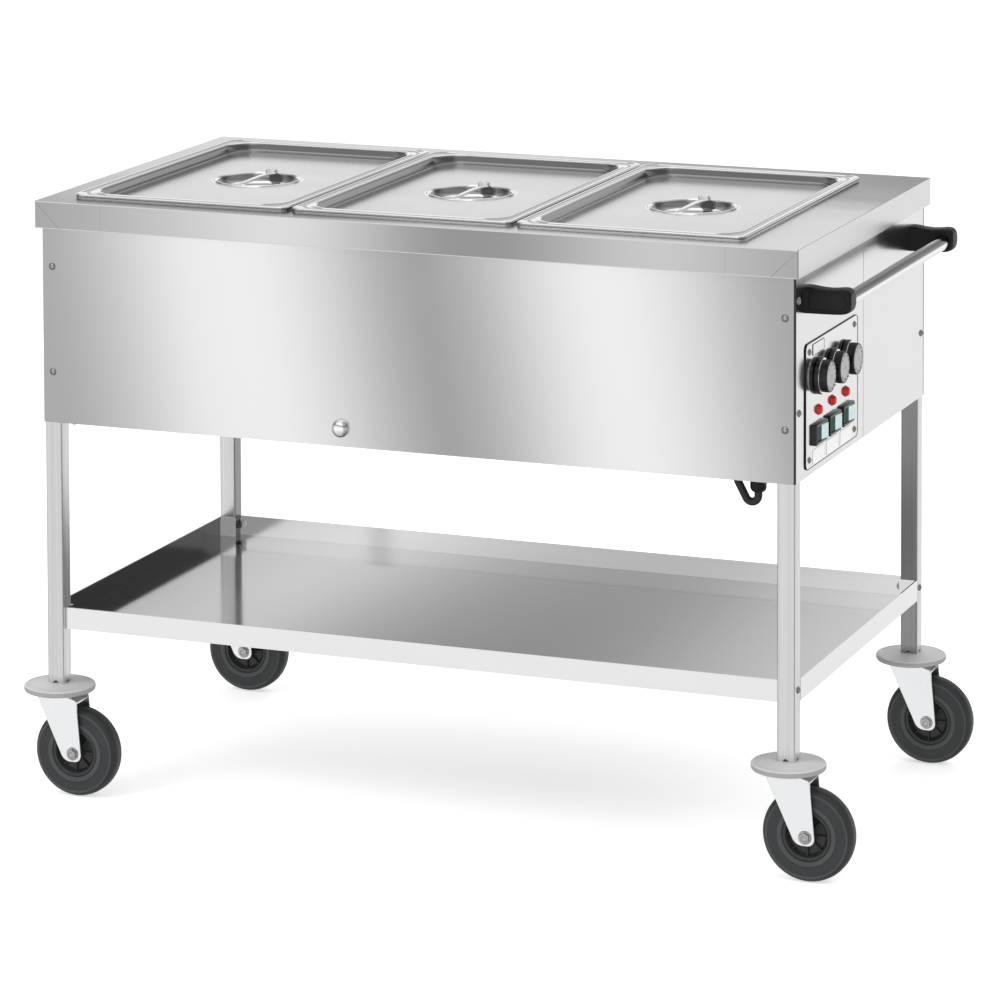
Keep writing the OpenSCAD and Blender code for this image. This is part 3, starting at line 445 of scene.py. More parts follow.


# The materials given a shade or a glow here carry painted light and shade in their colour; the lid steps
# carry painted dark reflection and the pale rocker half a painted highlight.
M = {
    "panel": steel("brushed_panel", 0.98, 0.24, "X", 0.85, shade=panel_shade(PANEL_STOPS, 0.18)),
    "skirt": steel("brushed_skirt", 0.98, 0.24, "X", 0.85, shade=panel_shade(SKIRT_STOPS, 0)),
    "end": steel("brushed_end", 0.75, 0.17, "Y", 0.7),
    "plate": steel("brushed_plate", 0.77, 0.14, "Y", 0.5),
    "top": steel("satin_worktop", 0.86, 0.24, "X", shade=top_shade),
    "tube": steel("brushed_tube", 0.68, 0.24, "Z", 0.6, grain_depth=0.5, shade=leg_shade),
    "grip": steel("polished_grip", 0.88, 0.1, "Y", grain_depth=0.04, shade=grip_shade),
    "shelf": steel("polished_shelf", 0.9, 0.1, "X", shade=shelf_shade, glow=shelf_glow),
    "lid": steel("satin_lid", 0.76, 0.2, "Y", grain_depth=0.05, cloud_scale=9),
    "step": steel("lid_step_painted_reflection", 0.3, 0.16, grain_depth=0.04),
    "bright": steel("bright_steel", 0.9, 0.07, bump=0.02, grain_depth=0.03),
    "satin": steel("satin_steel", 0.74, 0.26),
    "zinc": steel("bright_zinc", 0.93, 0.3, bump=0.1, tint=(0.99, 1, 1.01)),
    "screw": steel("screw_steel", 0.44, 0.2),
    "weld": steel("weld_line", 0.34, 0.35),
    "chrome": steel("chrome", 0.92, 0.05, bump=0.01, grain_depth=0.02),
    "dial": steel("dial_face", 0.5, 0.34, bump=0.08),
    "brass": steel("brass", 0.78, 0.28, tint=(1, 0.78, 0.4)),
    "heater": steel("heater_sheath", 0.3, 0.42, bump=0.12, tint=(1, 0.93, 0.88)),
    "black": moulded("black_plastic", (0.0055, 0.006, 0.0065), 0.4, 900, 0.08, specular=0.25),
    "hub": moulded("hub_plastic", (0.026, 0.027, 0.028), 0.4, 900, 0.08),
    "gloss": moulded("black_gloss", (0.005, 0.005, 0.0055), 0.26, 500, 0.02, coat=0.15),
    "ink": moulded("dial_ink", (0.03, 0.03, 0.03), 0.5),
    "green": moulded("green_rocker", (0.004, 0.045, 0.028), 0.42, 500, 0.02, specular=0.08),
    # The pale rocker colour is a painted highlight.
    "pale": moulded("rocker_painted_highlight", (0.5, 0.66, 0.68), 0.2, 500, 0.02, coat=0.2),
    "red": moulded("red_lens", (0.5, 0.01, 0.007), 0.22, 400, 0.02, coat=0.05, glow=0.15),
    "halo": moulded("lamp_bezel", (0.4, 0.06, 0.05), 0.3, 400, 0.02, coat=0.1),
    "white": moulded("white_plate", (0.8, 0.8, 0.81), 0.32, 400, 0.02, 0.04, coat=0.3),
    "cream": moulded("cream_plastic", (0.7, 0.64, 0.5), 0.42),
    "rubber": moulded("black_rubber", (0.018, 0.018, 0.019), 0.52, 900, 0.2),
    "tyre": moulded("tyre_rubber", (0.026, 0.028, 0.029), 0.46, 600, 0.25, 0.35),
    "tyre_line": moulded("tyre_bead", (0.05, 0.053, 0.056), 0.36, 600, 0.15, 0.2),
    "bumper": moulded("bumper_rubber", (0.7, 0.69, 0.695), 0.46, 500, 0.18, 0.08,
                      shade=bumper_shade),
    "wool": moulded("mineral_wool", (0.55, 0.49, 0.28), 0.9, 260, 0.9, 0.35),
    "wire": moulded("red_wire", (0.3, 0.02, 0.015), 0.4),
}


# ---- CAD nodes that stay

def shading_group(name, limit):
    """Modifier nodes that keep edges above the limit, in degrees, sharp and shade the rest smooth."""
    group = bpy.data.node_groups.new(name, "GeometryNodeTree")
    group.interface.new_socket("Geometry", in_out="INPUT", socket_type="NodeSocketGeometry")
    group.interface.new_socket("Geometry", in_out="OUTPUT", socket_type="NodeSocketGeometry")
    n = Nodes(group)
    source = n.add("NodeGroupInput").outputs[0]
    clean = n.add("GeometryNodeRemoveAttribute", {0: source, "Name": "custom_normal"}).outputs[0]
    angle = n.add("GeometryNodeInputMeshEdgeAngle").outputs[0]
    flat = n.add("ShaderNodeMath", {0: angle, 1: radians(limit)}, operation="LESS_THAN").outputs[0]
    faces = n.add("GeometryNodeSetShadeSmooth", {0: clean}, domain="FACE").outputs[0]
    edges = n.add("GeometryNodeSetShadeSmooth", {0: faces, "Shade Smooth": flat}, domain="EDGE")
    n.add("NodeGroupOutput", {0: edges.outputs[0]})
    return group


ROUND_SHADING = shading_group("round_shading", 25)
FLAT_SHADING = shading_group("flat_shading", 1)


def dress(node, material, bevel, flat):
    """Gives a CAD node its finish, closed seams, small edge rounds and clean shading."""
    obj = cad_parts[node]
    obj.data.materials.clear()
    obj.data.materials.append(material)
    obj.modifiers.new("weld", "WELD").merge_threshold = 0.000002
    if flat:
        facets = obj.modifiers.new("facets", "DECIMATE")
        facets.decimate_type = "DISSOLVE"
        facets.angle_limit = radians(0.5)
    if bevel:
        rounding = obj.modifiers.new("edges", "BEVEL")
        rounding.width = bevel * MM
        rounding.segments = 2
        rounding.limit_method = "ANGLE"
        rounding.angle_limit = radians(50)
        rounding.use_clamp_overlap = True
    obj.modifiers.new("shading", "NODES").node_group = FLAT_SHADING if flat else ROUND_SHADING


for node, key, bevel in (
        ("worktop", "top", 0.6), ("front_panel", "panel", 0.15), ("rear_panel", "panel", 0.15),
        ("left_end_panel", "end", 0.15), ("right_end_panel_front", "end", 0.15),
        ("right_end_panel_rear", "end", 0.15), ("base_pan", "satin", 0), ("undershelf", "shelf", 0.2),
        ("control_plate", "plate", 0.2), ("label_plates", "white", 0.1)):
    dress(node, M[key], bevel, True)
for node, key in (
        ("legs", "tube"), ("wells", "satin"), ("heating_elements", "heater"), ("insulation_pads", "wool"),
        ("drain_manifold", "satin"), ("drain_valve", "brass"), ("thermostats", "cream"),
        ("wiring", "wire"), ("terminal_block", "cream"), ("frame_bolts", "screw"),
        ("panel_screws", "screw"), ("handle_tube", "grip")):
    dress(node, M[key], 0, False)
dress("plug_holder", M["black"], 0.4, False)


# ---- worktop edge lines

def skirt_lines():
    """Ground weld lines on the turned-down edge: a mitre and an upright joint at each corner."""
    shape = Shape()
    for side in (-1, 1):
        for end in (-1, 1):
            for a, b, half in (((556 * end, 839.6), (518 * end, 802.3), 0.45),
                               ((455 * end, 838.6), (455 * end, 802.4), 0.22)):
                p, q = Vector(a), Vector(b)
                across = (q - p).normalized().orthogonal() * half
                line = [p + across, q + across, q - across, p - across]
                shape.add(*loft([[(v.x, y, v.y) for v in line] for y in (side * 309.9, side * 310.12)]))
    return shape


make(skirt_lines(), "skirt_weld_lines", "frame", [M["weld"]])


def seam_shade_strips():
    """Dark strips of painted shade in the body's right corner seams and in the seam of the right end."""
    shape = Shape()
    z0, z1 = 528.4, 801.6
    corner = [(546.4, 299.9), (548.3, 299.9), (548.3, 297.6), (549.12, 297.6), (549.12, 300.12),
              (546.4, 300.12)]
    front = [(x, -y) for x, y in (corner[5:] + corner[4:0:-1] + corner[:1])]
    for outline in (front, corner):
        shape.add(*prism(outline, z0, z1, 0.03))
    shape.add(*prism([(547.6, 2.2), (548.7, 2.2), (548.7, 4.8), (547.6, 4.8)], z0 + 1, z1, 0.1))
    return shape


make(seam_shade_strips(), "seam_shade_strips", "frame", [M["rubber"]], (), 30)


def skirt_face():
    """Front and rear faces of the turned-down edge, as thin brushed cover sheets that carry painted
    reflection bands.
    """
    shape = Shape()
    sheet, thick = [(-554.6, 803), (554.6, 803), (554.6, 838.6), (-554.6, 838.6)], 0.08
    upright = Matrix.Rotation(radians(90), 4, "X")
    for y, lift in ((-310, 0), (310, -thick)):
        shape.add(*prism(sheet, 0, thick, 0.03), moved(0, y, 0) @ upright @ moved(0, 0, lift))
    return shape


make(skirt_face(), "skirt_faces", "frame", [M["skirt"]])


# ---- lids

LID_W, LID_D, LID_T = 325, 530, 0.9
LID_RIM = (   # inset from the edge, height, corner radius
    (0, 842.1, 14), (0, 844.2, 14), (0.35, 845.2, 14.3), (1.2, 845.8, 15), (2.6, 846, 16),
    (4.4, 845.7, 18), (6.2, 844.9, 20), (8.5, 844.6, 23), (11.5, 844.6, 28), (13.6, 845, 32),
    (15.2, 845.8, 36), (16.6, 846, 39), (17.8, 845.6, 41), (18.6, 844.6, 42), (19.3, 842.6, 42),
    (20.6, 837, 41), (21.4, 834.8, 40), (22.8, 833.5, 39), (25, 832.9, 38), (29, 832.8, 37))
LID_ROUND = (   # radius, height
    (66, 834), (63.6, 834.1), (63, 834.9), (62.2, 835.8), (60.8, 836.2), (59.2, 836), (58, 835.2),
    (57.2, 833.8), (55.4, 831), (52, 827.6), (47, 824.6), (41, 822.4), (34, 821.5), (24, 821.3),
    (12, 821.5), (3, 821.6))
LID_BLENDS = (0.12, 0.3, 0.5, 0.7, 0.88)      # loops between the flat panel's rectangle and circle
# The dark bands below carry painted dark reflection.
RIM_STEPS = (0, 7, 13, 14, 15, 16)      # dark bands of the rim, counted from the edge
RECESS_STEPS = (5, 6, 7)                # dark bands of the hand recess, counted from its centre


def lid_loops(shift):
    """Loops of a lid's upper skin, or of its lower skin when shift is the sheet's thickness."""
    n = 14
    flat_inset, flat_z, flat_r = LID_RIM[-1]
    round_r, round_z = LID_ROUND[0]
    edge_x = LID_W / 2 - flat_inset
    profile = [(LID_W / 2 - i, z) for i, z, _ in LID_RIM]
    profile += [(edge_x + (round_r - edge_x) * t,
                 flat_z + (round_z - flat_z) * sin(t * pi / 2)) for t in LID_BLENDS]
    profile += LID_ROUND
    loops = []
    for i, (x, z) in enumerate(profile):
        before, after = profile[max(i - 1, 0)], profile[min(i + 1, len(profile) - 1)]
        tx, tz = after[0] - before[0], after[1] - before[1]
        length = hypot(tx, tz)
        dx, dz = -tz / length * shift, tx / length * shift
        if i < len(LID_RIM):
            inset, height, radius = LID_RIM[i]
            loop = rect(LID_W - 2 * (inset - dx), LID_D - 2 * (inset - dx), radius + dx, height + dz, n)
        elif i < len(LID_RIM) + len(LID_BLENDS):
            flat = rect(LID_W - 2 * flat_inset, LID_D - 2 * flat_inset, flat_r, z + dz, n)
            loop = mix_loops(flat, rect_circle(round_r, z + dz, n), LID_BLENDS[i - len(LID_RIM)])
        else:
            loop = rect_circle(x + dx, z + dz, n)
        loops.append(loop)
    return loops


def lid_shape(cx):
    """Pressed lid. Its flat panel is satin, the rim and recess are bright, their steps are dark: painted
    dark reflection.
    """
    satin_tag, bright_tag, step_tag = 0, 1, 2
    upper = lid_loops(0)
    n, count = len(upper[0]), len(upper)
    shape = Shape()
    shape.add(*loft(upper[::-1] + lid_loops(LID_T)), moved(cx, WELL_Y, 0), satin_tag)
    for index in range(len(shape.faces) - 2):
        row = index // n
        from_centre = row if row < count else 2 * count - 2 - row
        if from_centre < len(LID_ROUND) - 1 or from_centre > count - len(LID_RIM) + 1:
            shape.tags[index] = bright_tag
        if count - 2 - from_centre in RIM_STEPS or from_centre in RECESS_STEPS:
            shape.tags[index] = step_tag
    return shape


def strap_shape(cx):
    """Flat grip strap across the hand recess, bowed a little, with a folded clip at its rear."""
    middle = (0, 838.6, 10, 2)      # place, height of the top, width, thickness
    half_strap = ((61.5, 836.2, 9, 1), (60.5, 836.5, 12, 1.6), (57, 836.9, 12.4, 1.8),
                  (45, 837.6, 11.4, 1.9), (25, 838.3, 10.4, 2))
    shape = Shape()
    loops = []
    for y, z, w, t in [(-y, *rest) for y, *rest in half_strap] + [middle] + list(half_strap[::-1]):
        half, low = w / 2, z - t
        right = [(half - 0.5, low), (half, low + 0.5), (half, z - 0.6), (half - 0.7, z - 0.1),
                 (half * 0.5, z + 0.15)]
        left = [(-dx, dz) for dx, dz in right]
        loops.append([(cx + dx, WELL_Y + y, dz) for dx, dz in
                      left[:1] + right + [(0, z + 0.2)] + left[:0:-1]])
    shape.add(*loft(loops))
    clip = ((17, 11, 4, 0), (18, 12, 4.5, 1), (18, 12, 4.5, 3), (16.4, 10.4, 3.8, 4.4),
            (12, 6.6, 2.8, 4.8), (10.8, 5.4, 2.2, 4.4), (10.2, 4.8, 2, 2.8))
    shape.add(*loft([rect(w, d, r, z, 6) for w, d, r, z in clip]), moved(cx, WELL_Y + 50, 837))
    return shape


def pan_shape(cx):
    """Food pan with a rolled flange, sloping walls and round bottom edges."""
    flange, lip, wall, floor = (-2, -1, 0), (1, 0, 1), (1.8, 0.9, 0.4), (1.8, 0.9, 0.9)
    profile = (   # width, corner radius and height inside; how much wider, rounder and lower outside
        (324, 14, 840.1, flange), (324, 14, 841.4, flange), (322.8, 14, 842, (-1.4, 0, 1)),
        (300, 40, 842, lip), (296, 44, 841.6, wall), (293.6, 44, 840, wall), (292.6, 44, 836, wall),
        (290, 43, 830.5, wall), (289, 43, 828, wall), (281, 40, 712, wall), (278, 38, 703, floor),
        (271, 35, 696, floor), (260, 30, 693.4, floor), (240, 25, 693, floor))
    longer = LID_D - LID_W
    inner = [rect(w, w + longer, r, z, 12) for w, r, z, _ in profile]
    outer = [rect(w + wide, w + wide + longer, r + rounder, z - low, 12)
             for w, r, z, (wide, rounder, low) in profile]
    return Shape().add(*loft(inner[::-1] + outer), moved(cx, WELL_Y, 0))


for i, cx in enumerate(WELLS, 1):
    make(lid_shape(cx), f"lid_pressing_{i}", f"pan_lid_{i}",
         [M["lid"], M["bright"], M["step"]], [f"pan_lid_{i}"], 45)
    make(strap_shape(cx), f"lid_strap_{i}", f"pan_lid_{i}", [M["bright"]], (), 40)
    make(pan_shape(cx), f"food_pan_body_{i}", f"food_pan_{i}", [M["satin"]],
         [f"food_pan_{i}"], 45)


# ---- casters

TYRE_SIDE = ((33.5, 13.6), (34.4, 14.8), (36.6, 15.6), (38.8, 15.9), (40.4, 15.7), (41, 14.9),
             (42.6, 14.3), (48, 14.5), (53.8, 14.9), (54.6, 15.6), (56, 15.5), (56.8, 14.6), (59, 12.9),
             (60.6, 11.2), (61.6, 9.2), (61.9, 8.2), (61.2, 7.7), (61.2, 7), (62.1, 6.5), (62.5, 5),
             (62.5, 0))
HUB_SIDE = ((6.05, 18.2), (10.4, 18.2), (11.2, 17.4), (11.6, 9), (13.5, 6.4), (17, 5.6), (24.5, 6.6),
            (27, 8.8), (28.6, 13.4), (29.8, 14.4), (32.4, 14.5), (33.5, 13.8))
TYRE_LINES = (1, 2, 3, 4, 8, 9, 10)      # faces of the side's raised lines, from the hub outward
TURNS = 96                              # faces round a wheel


def tyre_shape(x, y):
    profile = list(TYRE_SIDE) + [(r, -h) for r, h in reversed(TYRE_SIDE[:-1])]
    last = len(profile) - 1
    shape = Shape()
    shape.add(*lathe(profile, TURNS, ring=True), along((x, y, WHEEL_R), (0, -1, 0)))
    for index in range(len(shape.faces)):
        row = index // TURNS
        if row < last and min(row, last - 1 - row) in TYRE_LINES:
            shape.tags[index] = 1
    return shape


def hub_shape(x, y):
    """Hub with eight ribs on each side."""
    profile = list(HUB_SIDE) + [(r, -h) for r, h in reversed(HUB_SIDE)]
    shape = Shape()
    shape.add(*lathe(profile, TURNS, ring=True), along((x, y, WHEEL_R), (0, -1, 0)))
    for side in (-1, 1):
        for k in range(8):
            rib = prism([(-1.2, 11), (1.2, 11), (1, 28.2), (-1, 28.2)], 3, 10.2, 0.5)
            shape.add(*rib, along((x, y, WHEEL_R), (0, side, 0)) @ Matrix.Rotation(pi * k / 4, 4, "Z"))
    return shape


def tangent_angle(p, c, r, turn):
    """Angle at centre c, in degrees, where a line from p touches the circle of radius r."""
    v = Vector(p) - Vector(c)
    return degrees(atan2(v.y, v.x) + turn * acos(r / v.length))


def fork_outline():
    """Side of the fork in X and Z, counterclockwise, round the axle."""
    c1, c2, r1, r2 = (TRAIL + 3, 61), (TRAIL - 3, 67), 10, 16
    left, right = (TRAIL - 55, 141), (TRAIL + 6.5, 134)
    a_right = tangent_angle(right, c1, r1, -1)
    a_left = tangent_angle(left, c2, r2, 1) % 360
    gap = degrees(atan2(c2[1] - c1[1], c2[0] - c1[0]))
    between = (gap + 180 - degrees(acos((r2 - r1) / dist(c1, c2))) + 360) % 360
    a_end = a_right + 360 if a_right + 360 - between < 300 else a_right
    top = arc(TRAIL + 1, 134, 5.5, 0, 62, 5)
    top += [(16, 143.6), (8, 145.2), (-22.5, 145.2), (-25.2, 144)]
    return top + [left] + arc(*c2, r2, a_left, between, 12) + arc(*c1, r1, between, a_end, 12)


def fork_shape(x0, y0):
    """Two side plates, the crown plate between them and the lower race."""
    sheet, outline = 2.5, fork_outline()
    upright = Matrix.Rotation(radians(90), 4, "X")
    shape = Shape()
    for y in (-18.5, 21):
        shape.add(*prism(outline, 0, sheet, 0.45), moved(x0, y0 + y, 0) @ upright)
    crown = [rect(w, d, 1.2, z, 3) for w, d, z in
             ((52, 36.2, 130.8), (53, 37.2, 131.2), (53, 37.2, 133), (52, 36.2, 133.5))]
    shape.add(*loft(crown), moved(x0 + 5.5, y0, 0))
    race = ((6.2, 132.5), (17, 132.5), (17.4, 133.4), (17.4, 137), (16.6, 139.4), (15.8, 139.8),
            (6.2, 139.8))
    shape.add(*lathe(race, 64, ring=True), moved(x0, y0, 0))
    return shape


def axle_shape(x, y):
    """Bolt with a domed head in a dimpled washer, a spacer tube and a nut."""
    shape = Shape()
    at = along((x, y, WHEEL_R), (0, -1, 0))
    shape.add(*lathe(((6, -18.45), (6, 18.45)), 32), at)
    shape.add(*lathe(((8.8, 21), (9.2, 21.5), (8.6, 22.3), (6.2, 22.4)), 48), at)
    shape.add(*lathe(((7.2, 22), (7.5, 22.6), (7.5, 25), (6.9, 25.9), (4.4, 26.1), (3.6, 25.2),
                      (1.2, 24.9)), 6), at)
    shape.add(*lathe(((8.8, -21), (9.2, -21.5), (8.6, -22.3), (6.2, -22.4)), 48), at)
    shape.add(*lathe(((7.2, -22), (7.5, -22.6), (7.5, -26.2), (6.9, -27), (4.2, -27)), 6), at)
    shape.add(*lathe(((4, -26.8), (4, -28.2), (3.4, -29)), 24), at)
    return shape


def bumpers_shape():
    """Round bumper discs, each with a raised rim."""
    profile = ((6.2, 146), (44, 146), (46.6, 146.2), (48.8, 147), (49.8, 148.4), (50, 150), (50, 152.8),
               (49.6, 154.2), (48.6, 155), (47.2, 155.2), (46, 154.9), (45.2, 154.8), (36, 156),
               (25, 157.6), (22, 158), (6.2, 158))
    shape = Shape()
    for _, sx, sy in CORNERS:
        shape.add(*lathe(profile, TURNS, ring=True), moved(sx * LEG_X, sy * LEG_Y, 0))
    return shape


def mounts_shape():
    """Fixed halves of the casters: plug in the leg, upper race and kingpin with its head."""
    leg_plug = [rect(w, w, 1, z, 3) for w, z in ((20, 163), (21.6, 163.8), (21.6, 196), (20, 197))]
    head = ((9.6, 126.9), (10.2, 127.4), (10.2, 130), (9.6, 130.6), (6, 130.7))
    race = ((6.1, 140.2), (15.6, 140.2), (16.6, 141), (17.2, 143.4), (17.2, 145.9), (6.1, 145.9))
    shape = Shape()
    for _, sx, sy in CORNERS:
        at = moved(sx * LEG_X, sy * LEG_Y, 0)
        shape.add(*loft(leg_plug), at)
        shape.add(*lathe(((6, 127), (6, 164)), 32), at)
        shape.add(*lathe(head, 6), at)
        shape.add(*lathe(race, 64, ring=True), at)
    return shape


for corner, sx, sy in CORNERS:
    x, y = sx * LEG_X, sy * LEG_Y
    make(tyre_shape(x + TRAIL, y), f"tyre_tread_{corner}", f"wheel_{corner}",
         [M["tyre"], M["tyre_line"]], [f"tyre_{corner}"], 30)
    make(hub_shape(x + TRAIL, y), f"wheel_rim_{corner}", f"wheel_{corner}",
         [M["hub"]], [f"wheel_hub_{corner}"], 30)
    make(fork_shape(x, y), f"fork_pressing_{corner}", f"caster_{corner}", [M["zinc"]],
         [f"caster_fork_{corner}"], 30)
    make(axle_shape(x + TRAIL, y), f"axle_bolt_{corner}", f"caster_{corner}", [M["screw"]],
         [f"caster_axle_{corner}"], 30)
make(mounts_shape(), "caster_stems", "frame", [M["zinc"]], ["caster_mounts"], 30)
make(bumpers_shape(), "bumper_rings", "frame", [M["bumper"]], ["bumper_discs"], 40)


# ---- handle

HANDLE_X, HANDLE_Z = 596.5, 762      # the tube's axis
BRACKET_Y = 244


def add_bracket(shape, side):
    """Moulded bracket: scooped along its top, round at its end, with a sunk outer face."""
    yc = side * BRACKET_Y
    stations = (   # from the body, width, lowest, highest, corner radius
        (0, 28, 747, 782, 3), (6, 27.6, 747, 781.6, 3.4), (18, 27, 747, 780.2, 3.8),
        (30, 26.8, 747.2, 779.6, 4), (40, 27.2, 747.4, 780.4, 4.4), (48, 27.8, 747.8, 781.6, 5),
        (54, 28, 748.8, 781.6, 6), (58, 27.6, 750.6, 780.2, 6.4), (60.6, 26.2, 753.2, 777.6, 6.6),
        (61.8, 23.6, 756.6, 774.2, 6.4), (62, 20, 759.4, 771.4, 5.2))
    loops = []
    for x, w, z0, z1, r in stations:
        r = min(r, (z1 - z0) / 2 - 0.1, w / 2 - 0.1)
        loops.append([(BODY_X + x, yc + py, (z0 + z1) / 2 + pz)
                      for py, pz, _ in rect(w, z1 - z0, r, 0, 6)])
    shape.add(*loft(loops))
    outline = [(4, 751), (40, 750.6)] + arc(44, 764, 13.2, -84, 84, 12)
    outline += [(40, 777), (4, 777.6)]
    y_root = side * (BRACKET_Y + 12.4)
    rim = ((0, 0), (0, 1.9), (0.7, 2.5), (1.7, 2.4), (2.2, 1.8), (2.2, 0))      # inset, lift
    shape.add(*loft([[(BODY_X + px, y_root + side * lift, pz) for px, pz in
                      (offset(outline, inset) if inset else outline)] for inset, lift in rim], ring=True))
    socket = along((HANDLE_X, yc - side * 13, HANDLE_Z), (0, -side, 0))
    shape.add(*lathe(((10.2, 0), (13, 0), (13, 1.6), (12.4, 2.4), (11.2, 2.6), (10.2, 2.2)),
                     48, ring=True), socket)


brackets = Shape()
for side in (-1, 1):
    add_bracket(brackets, side)
make(brackets, "handle_mouldings", "frame", [M["black"]], ["handle_brackets"], 38)


# ---- controls

PLATE_X = 550.5      # front of the control plate
KNOB_Z, LAMP_Z, SWITCH_Z = 655, 609.5, 579
TICKS, DIAL_TURN = 11, 270      # lines on a dial and the degrees that they span
FROM_X = Matrix(((0, 0, 1, 0), (1, 0, 0, 0), (0, 1, 0, 0), (0, 0, 0, 1)))      # local Z looks along X


def knob_shape(yc):
    """Skirt, bright ring, fluted grip with a pointer, and a round dial face with ticks."""
    black_tag, ring_tag, dial_tag, ink_tag = range(4)
    shape = Shape()
    at = along((PLATE_X + 0.4, yc, KNOB_Z), (1, 0, 0))
    shape.add(*lathe(((3, -11), (3, -0.2), (23.8, 0), (24.8, 0.8), (25, 2), (25, 4.6), (24.6, 5.6),
                      (23.6, 6.2), (20, 6.4)), 72), at, black_tag)
    shape.add(*lathe(((22, 6), (23.7, 6.2), (23.9, 6.7), (23.5, 7.3), (21.4, 7.5)), 72, ring=True),
              at, ring_tag)
    grip = [circle(r, z, 144, w, 24) for r, z, w in
            ((20.6, 6.2, 0), (21.6, 7.4, 0.3), (21.6, 8.6, 0.55), (21.5, 15.4, 0.55), (21.2, 16.8, 0.3),
             (20.5, 17.6, 0), (19.9, 17.5, 0), (19.6, 16.9, 0), (2, 16.9, 0))]
    shape.add(*loft(grip), at)
    shape.add(*prism([(-2.2, 20.5), (2.2, 20.5), (1.5, 23.4), (-1.5, 23.4)], 6.6, 16.4, 0.5), at)
    shape.add(*lathe(((19.3, 16.6), (19.3, 17.4), (18.9, 17.6), (14.6, 17.6), (14.2, 17.35), (13.8, 17.6),
                      (8.6, 17.6), (8.2, 17.35), (7.8, 17.6), (3.4, 17.6), (3, 17.2), (1, 17.2)), 72),
              at, dial_tag)
    tick = prism([(-0.35, 15.4), (0.35, 15.4), (0.35, 18), (-0.35, 18)], 17.3, 18, 0.08)
    for k in range(TICKS):
        turn = radians(DIAL_TURN * (k / (TICKS - 1) - 0.5))
        shape.add(*tick, at @ Matrix.Rotation(turn, 4, "Z"), ink_tag)
    return shape


def lamps_shape():
    """Three domed lenses in their bezels."""
    bezel = ((6, -24), (6, -0.1), (7.3, 0), (7.6, 0.4), (7.5, 1), (7, 1.4), (6.4, 1.4))
    lens = ((6.3, 0.8), (6.4, 2), (6.1, 3.4), (5.2, 4.7), (3.8, 5.5), (2.2, 5.75), (0.9, 5.8))
    shape = Shape()
    for yc in COLUMNS:
        at = along((PLATE_X, yc, LAMP_Z), (1, 0, 0))
        shape.add(*lathe(bezel, 48), at, 1)
        shape.add(*lathe(lens, 48), at, 0)
    return shape


def housings_shape():
    """Switch housings with a raised bezel and a well for the rocker."""
    section = (   # width, height, corner radius, distance from the plate
        (45, 23, 1, -28), (45, 23, 1, 0), (50, 28, 2, 0.02), (50, 28, 2, 4.4), (49.4, 27.4, 1.8, 5.2),
        (48.4, 26.4, 1.5, 5.5), (45.6, 21.6, 0.9, 5.5), (44.6, 20.6, 0.5, 5), (44.4, 20.4, 0.4, -8))
    shape = Shape()
    for yc in COLUMNS:
        shape.add(*loft([rect(w, h, r, z, 4) for w, h, r, z in section]),
                  moved(PLATE_X, yc, SWITCH_Z) @ FROM_X)
    return shape


def rocker_shape(yc):
    """Rocker with a shallow V face in two colours, tipped to off on its two pins. The rear half's pale
    colour is a painted highlight.
    """
    shape = Shape()
    at = moved(PLATE_X + 2.75, yc, SWITCH_Z) @ Matrix.Rotation(radians(-5), 4, "Z")
    front = [(-6, -17), (-2, -21), (2.2, -21), (2.9, -20.8), (3.2, -20.2), (2.4, -10), (1.8, 0), (-6, 0)]
    rear = [(-6, 0), (1.8, 0), (2.4, 10), (3.2, 20.2), (2.9, 20.8), (2.2, 21), (-2, 21), (-6, 17)]
    for outline, tag in ((front, 0), (rear, 1)):
        shape.add(*prism(outline, -10, 10, 0.5), at, tag)
    shape.add(*lathe(((1.5, -12.5), (1.5, 12.5)), 24), at)
    return shape


for i, yc in enumerate(COLUMNS, 1):
    make(knob_shape(yc), f"knob_body_{i}", f"thermostat_knob_{i}",
         [M["gloss"], M["chrome"], M["dial"], M["ink"]], [f"thermostat_knob_{i}"], 32)
    make(rocker_shape(yc), f"rocker_body_{i}", f"switch_rocker_{i}",
         [M["green"], M["pale"]], [f"switch_rocker_{i}"], 30)


def gasket_shape():
    """Black edging round the control plate and round the blank plate at its top."""
    shape = Shape()
    for y, z, w, h, r, grow, x0, x1 in ((-144, 621.5, 231, 166, 8, 1, 549.02, 550.9),
                                        (-206, 693.5, 48, 14, 1, 0.8, 550.52, 551.3)):
        loops = [rect(w + 2 * g, h + 2 * g, r + g, x, 6) for g, x in
                 ((0.05, x0), (grow, x0), (grow, x1 - 0.3), (grow - 0.3, x1), (0.35, x1), (0.05, x1 - 0.3))]
        shape.add(*loft(loops, ring=True), moved(0, y, z) @ FROM_X)
    return shape


make(gasket_shape(), "plate_edging", "frame", [M["black"]], (), 40)
make(lamps_shape(), "pilot_lamp_set", "frame", [M["red"], M["halo"]], ["pilot_lamps"], 40)
make(housings_shape(), "switch_bezels", "frame", [M["gloss"]], ["switch_housings"], 30)

DRAIN_AT = along((-98, -299, 553.5), (0, -1, 0))
DRAIN_DOME = ((4, -28), (4, -0.2), (11.6, 0), (12.7, 0.6), (13, 1.6), (12.8, 4), (12, 6.8), (10.2, 9.4),
              (7.4, 11.6), (4.2, 12.7), (1.2, 13))
make(Shape().add(*lathe(DRAIN_DOME), DRAIN_AT), "drain_knob_dome", "drain_knob",
     [M["chrome"]], ["drain_knob"], 40)


# ---- cable, gland and plug

GLAND_X, GLAND_Y = 481, -248
PLUG_Y, PLUG_Z = 140, 509


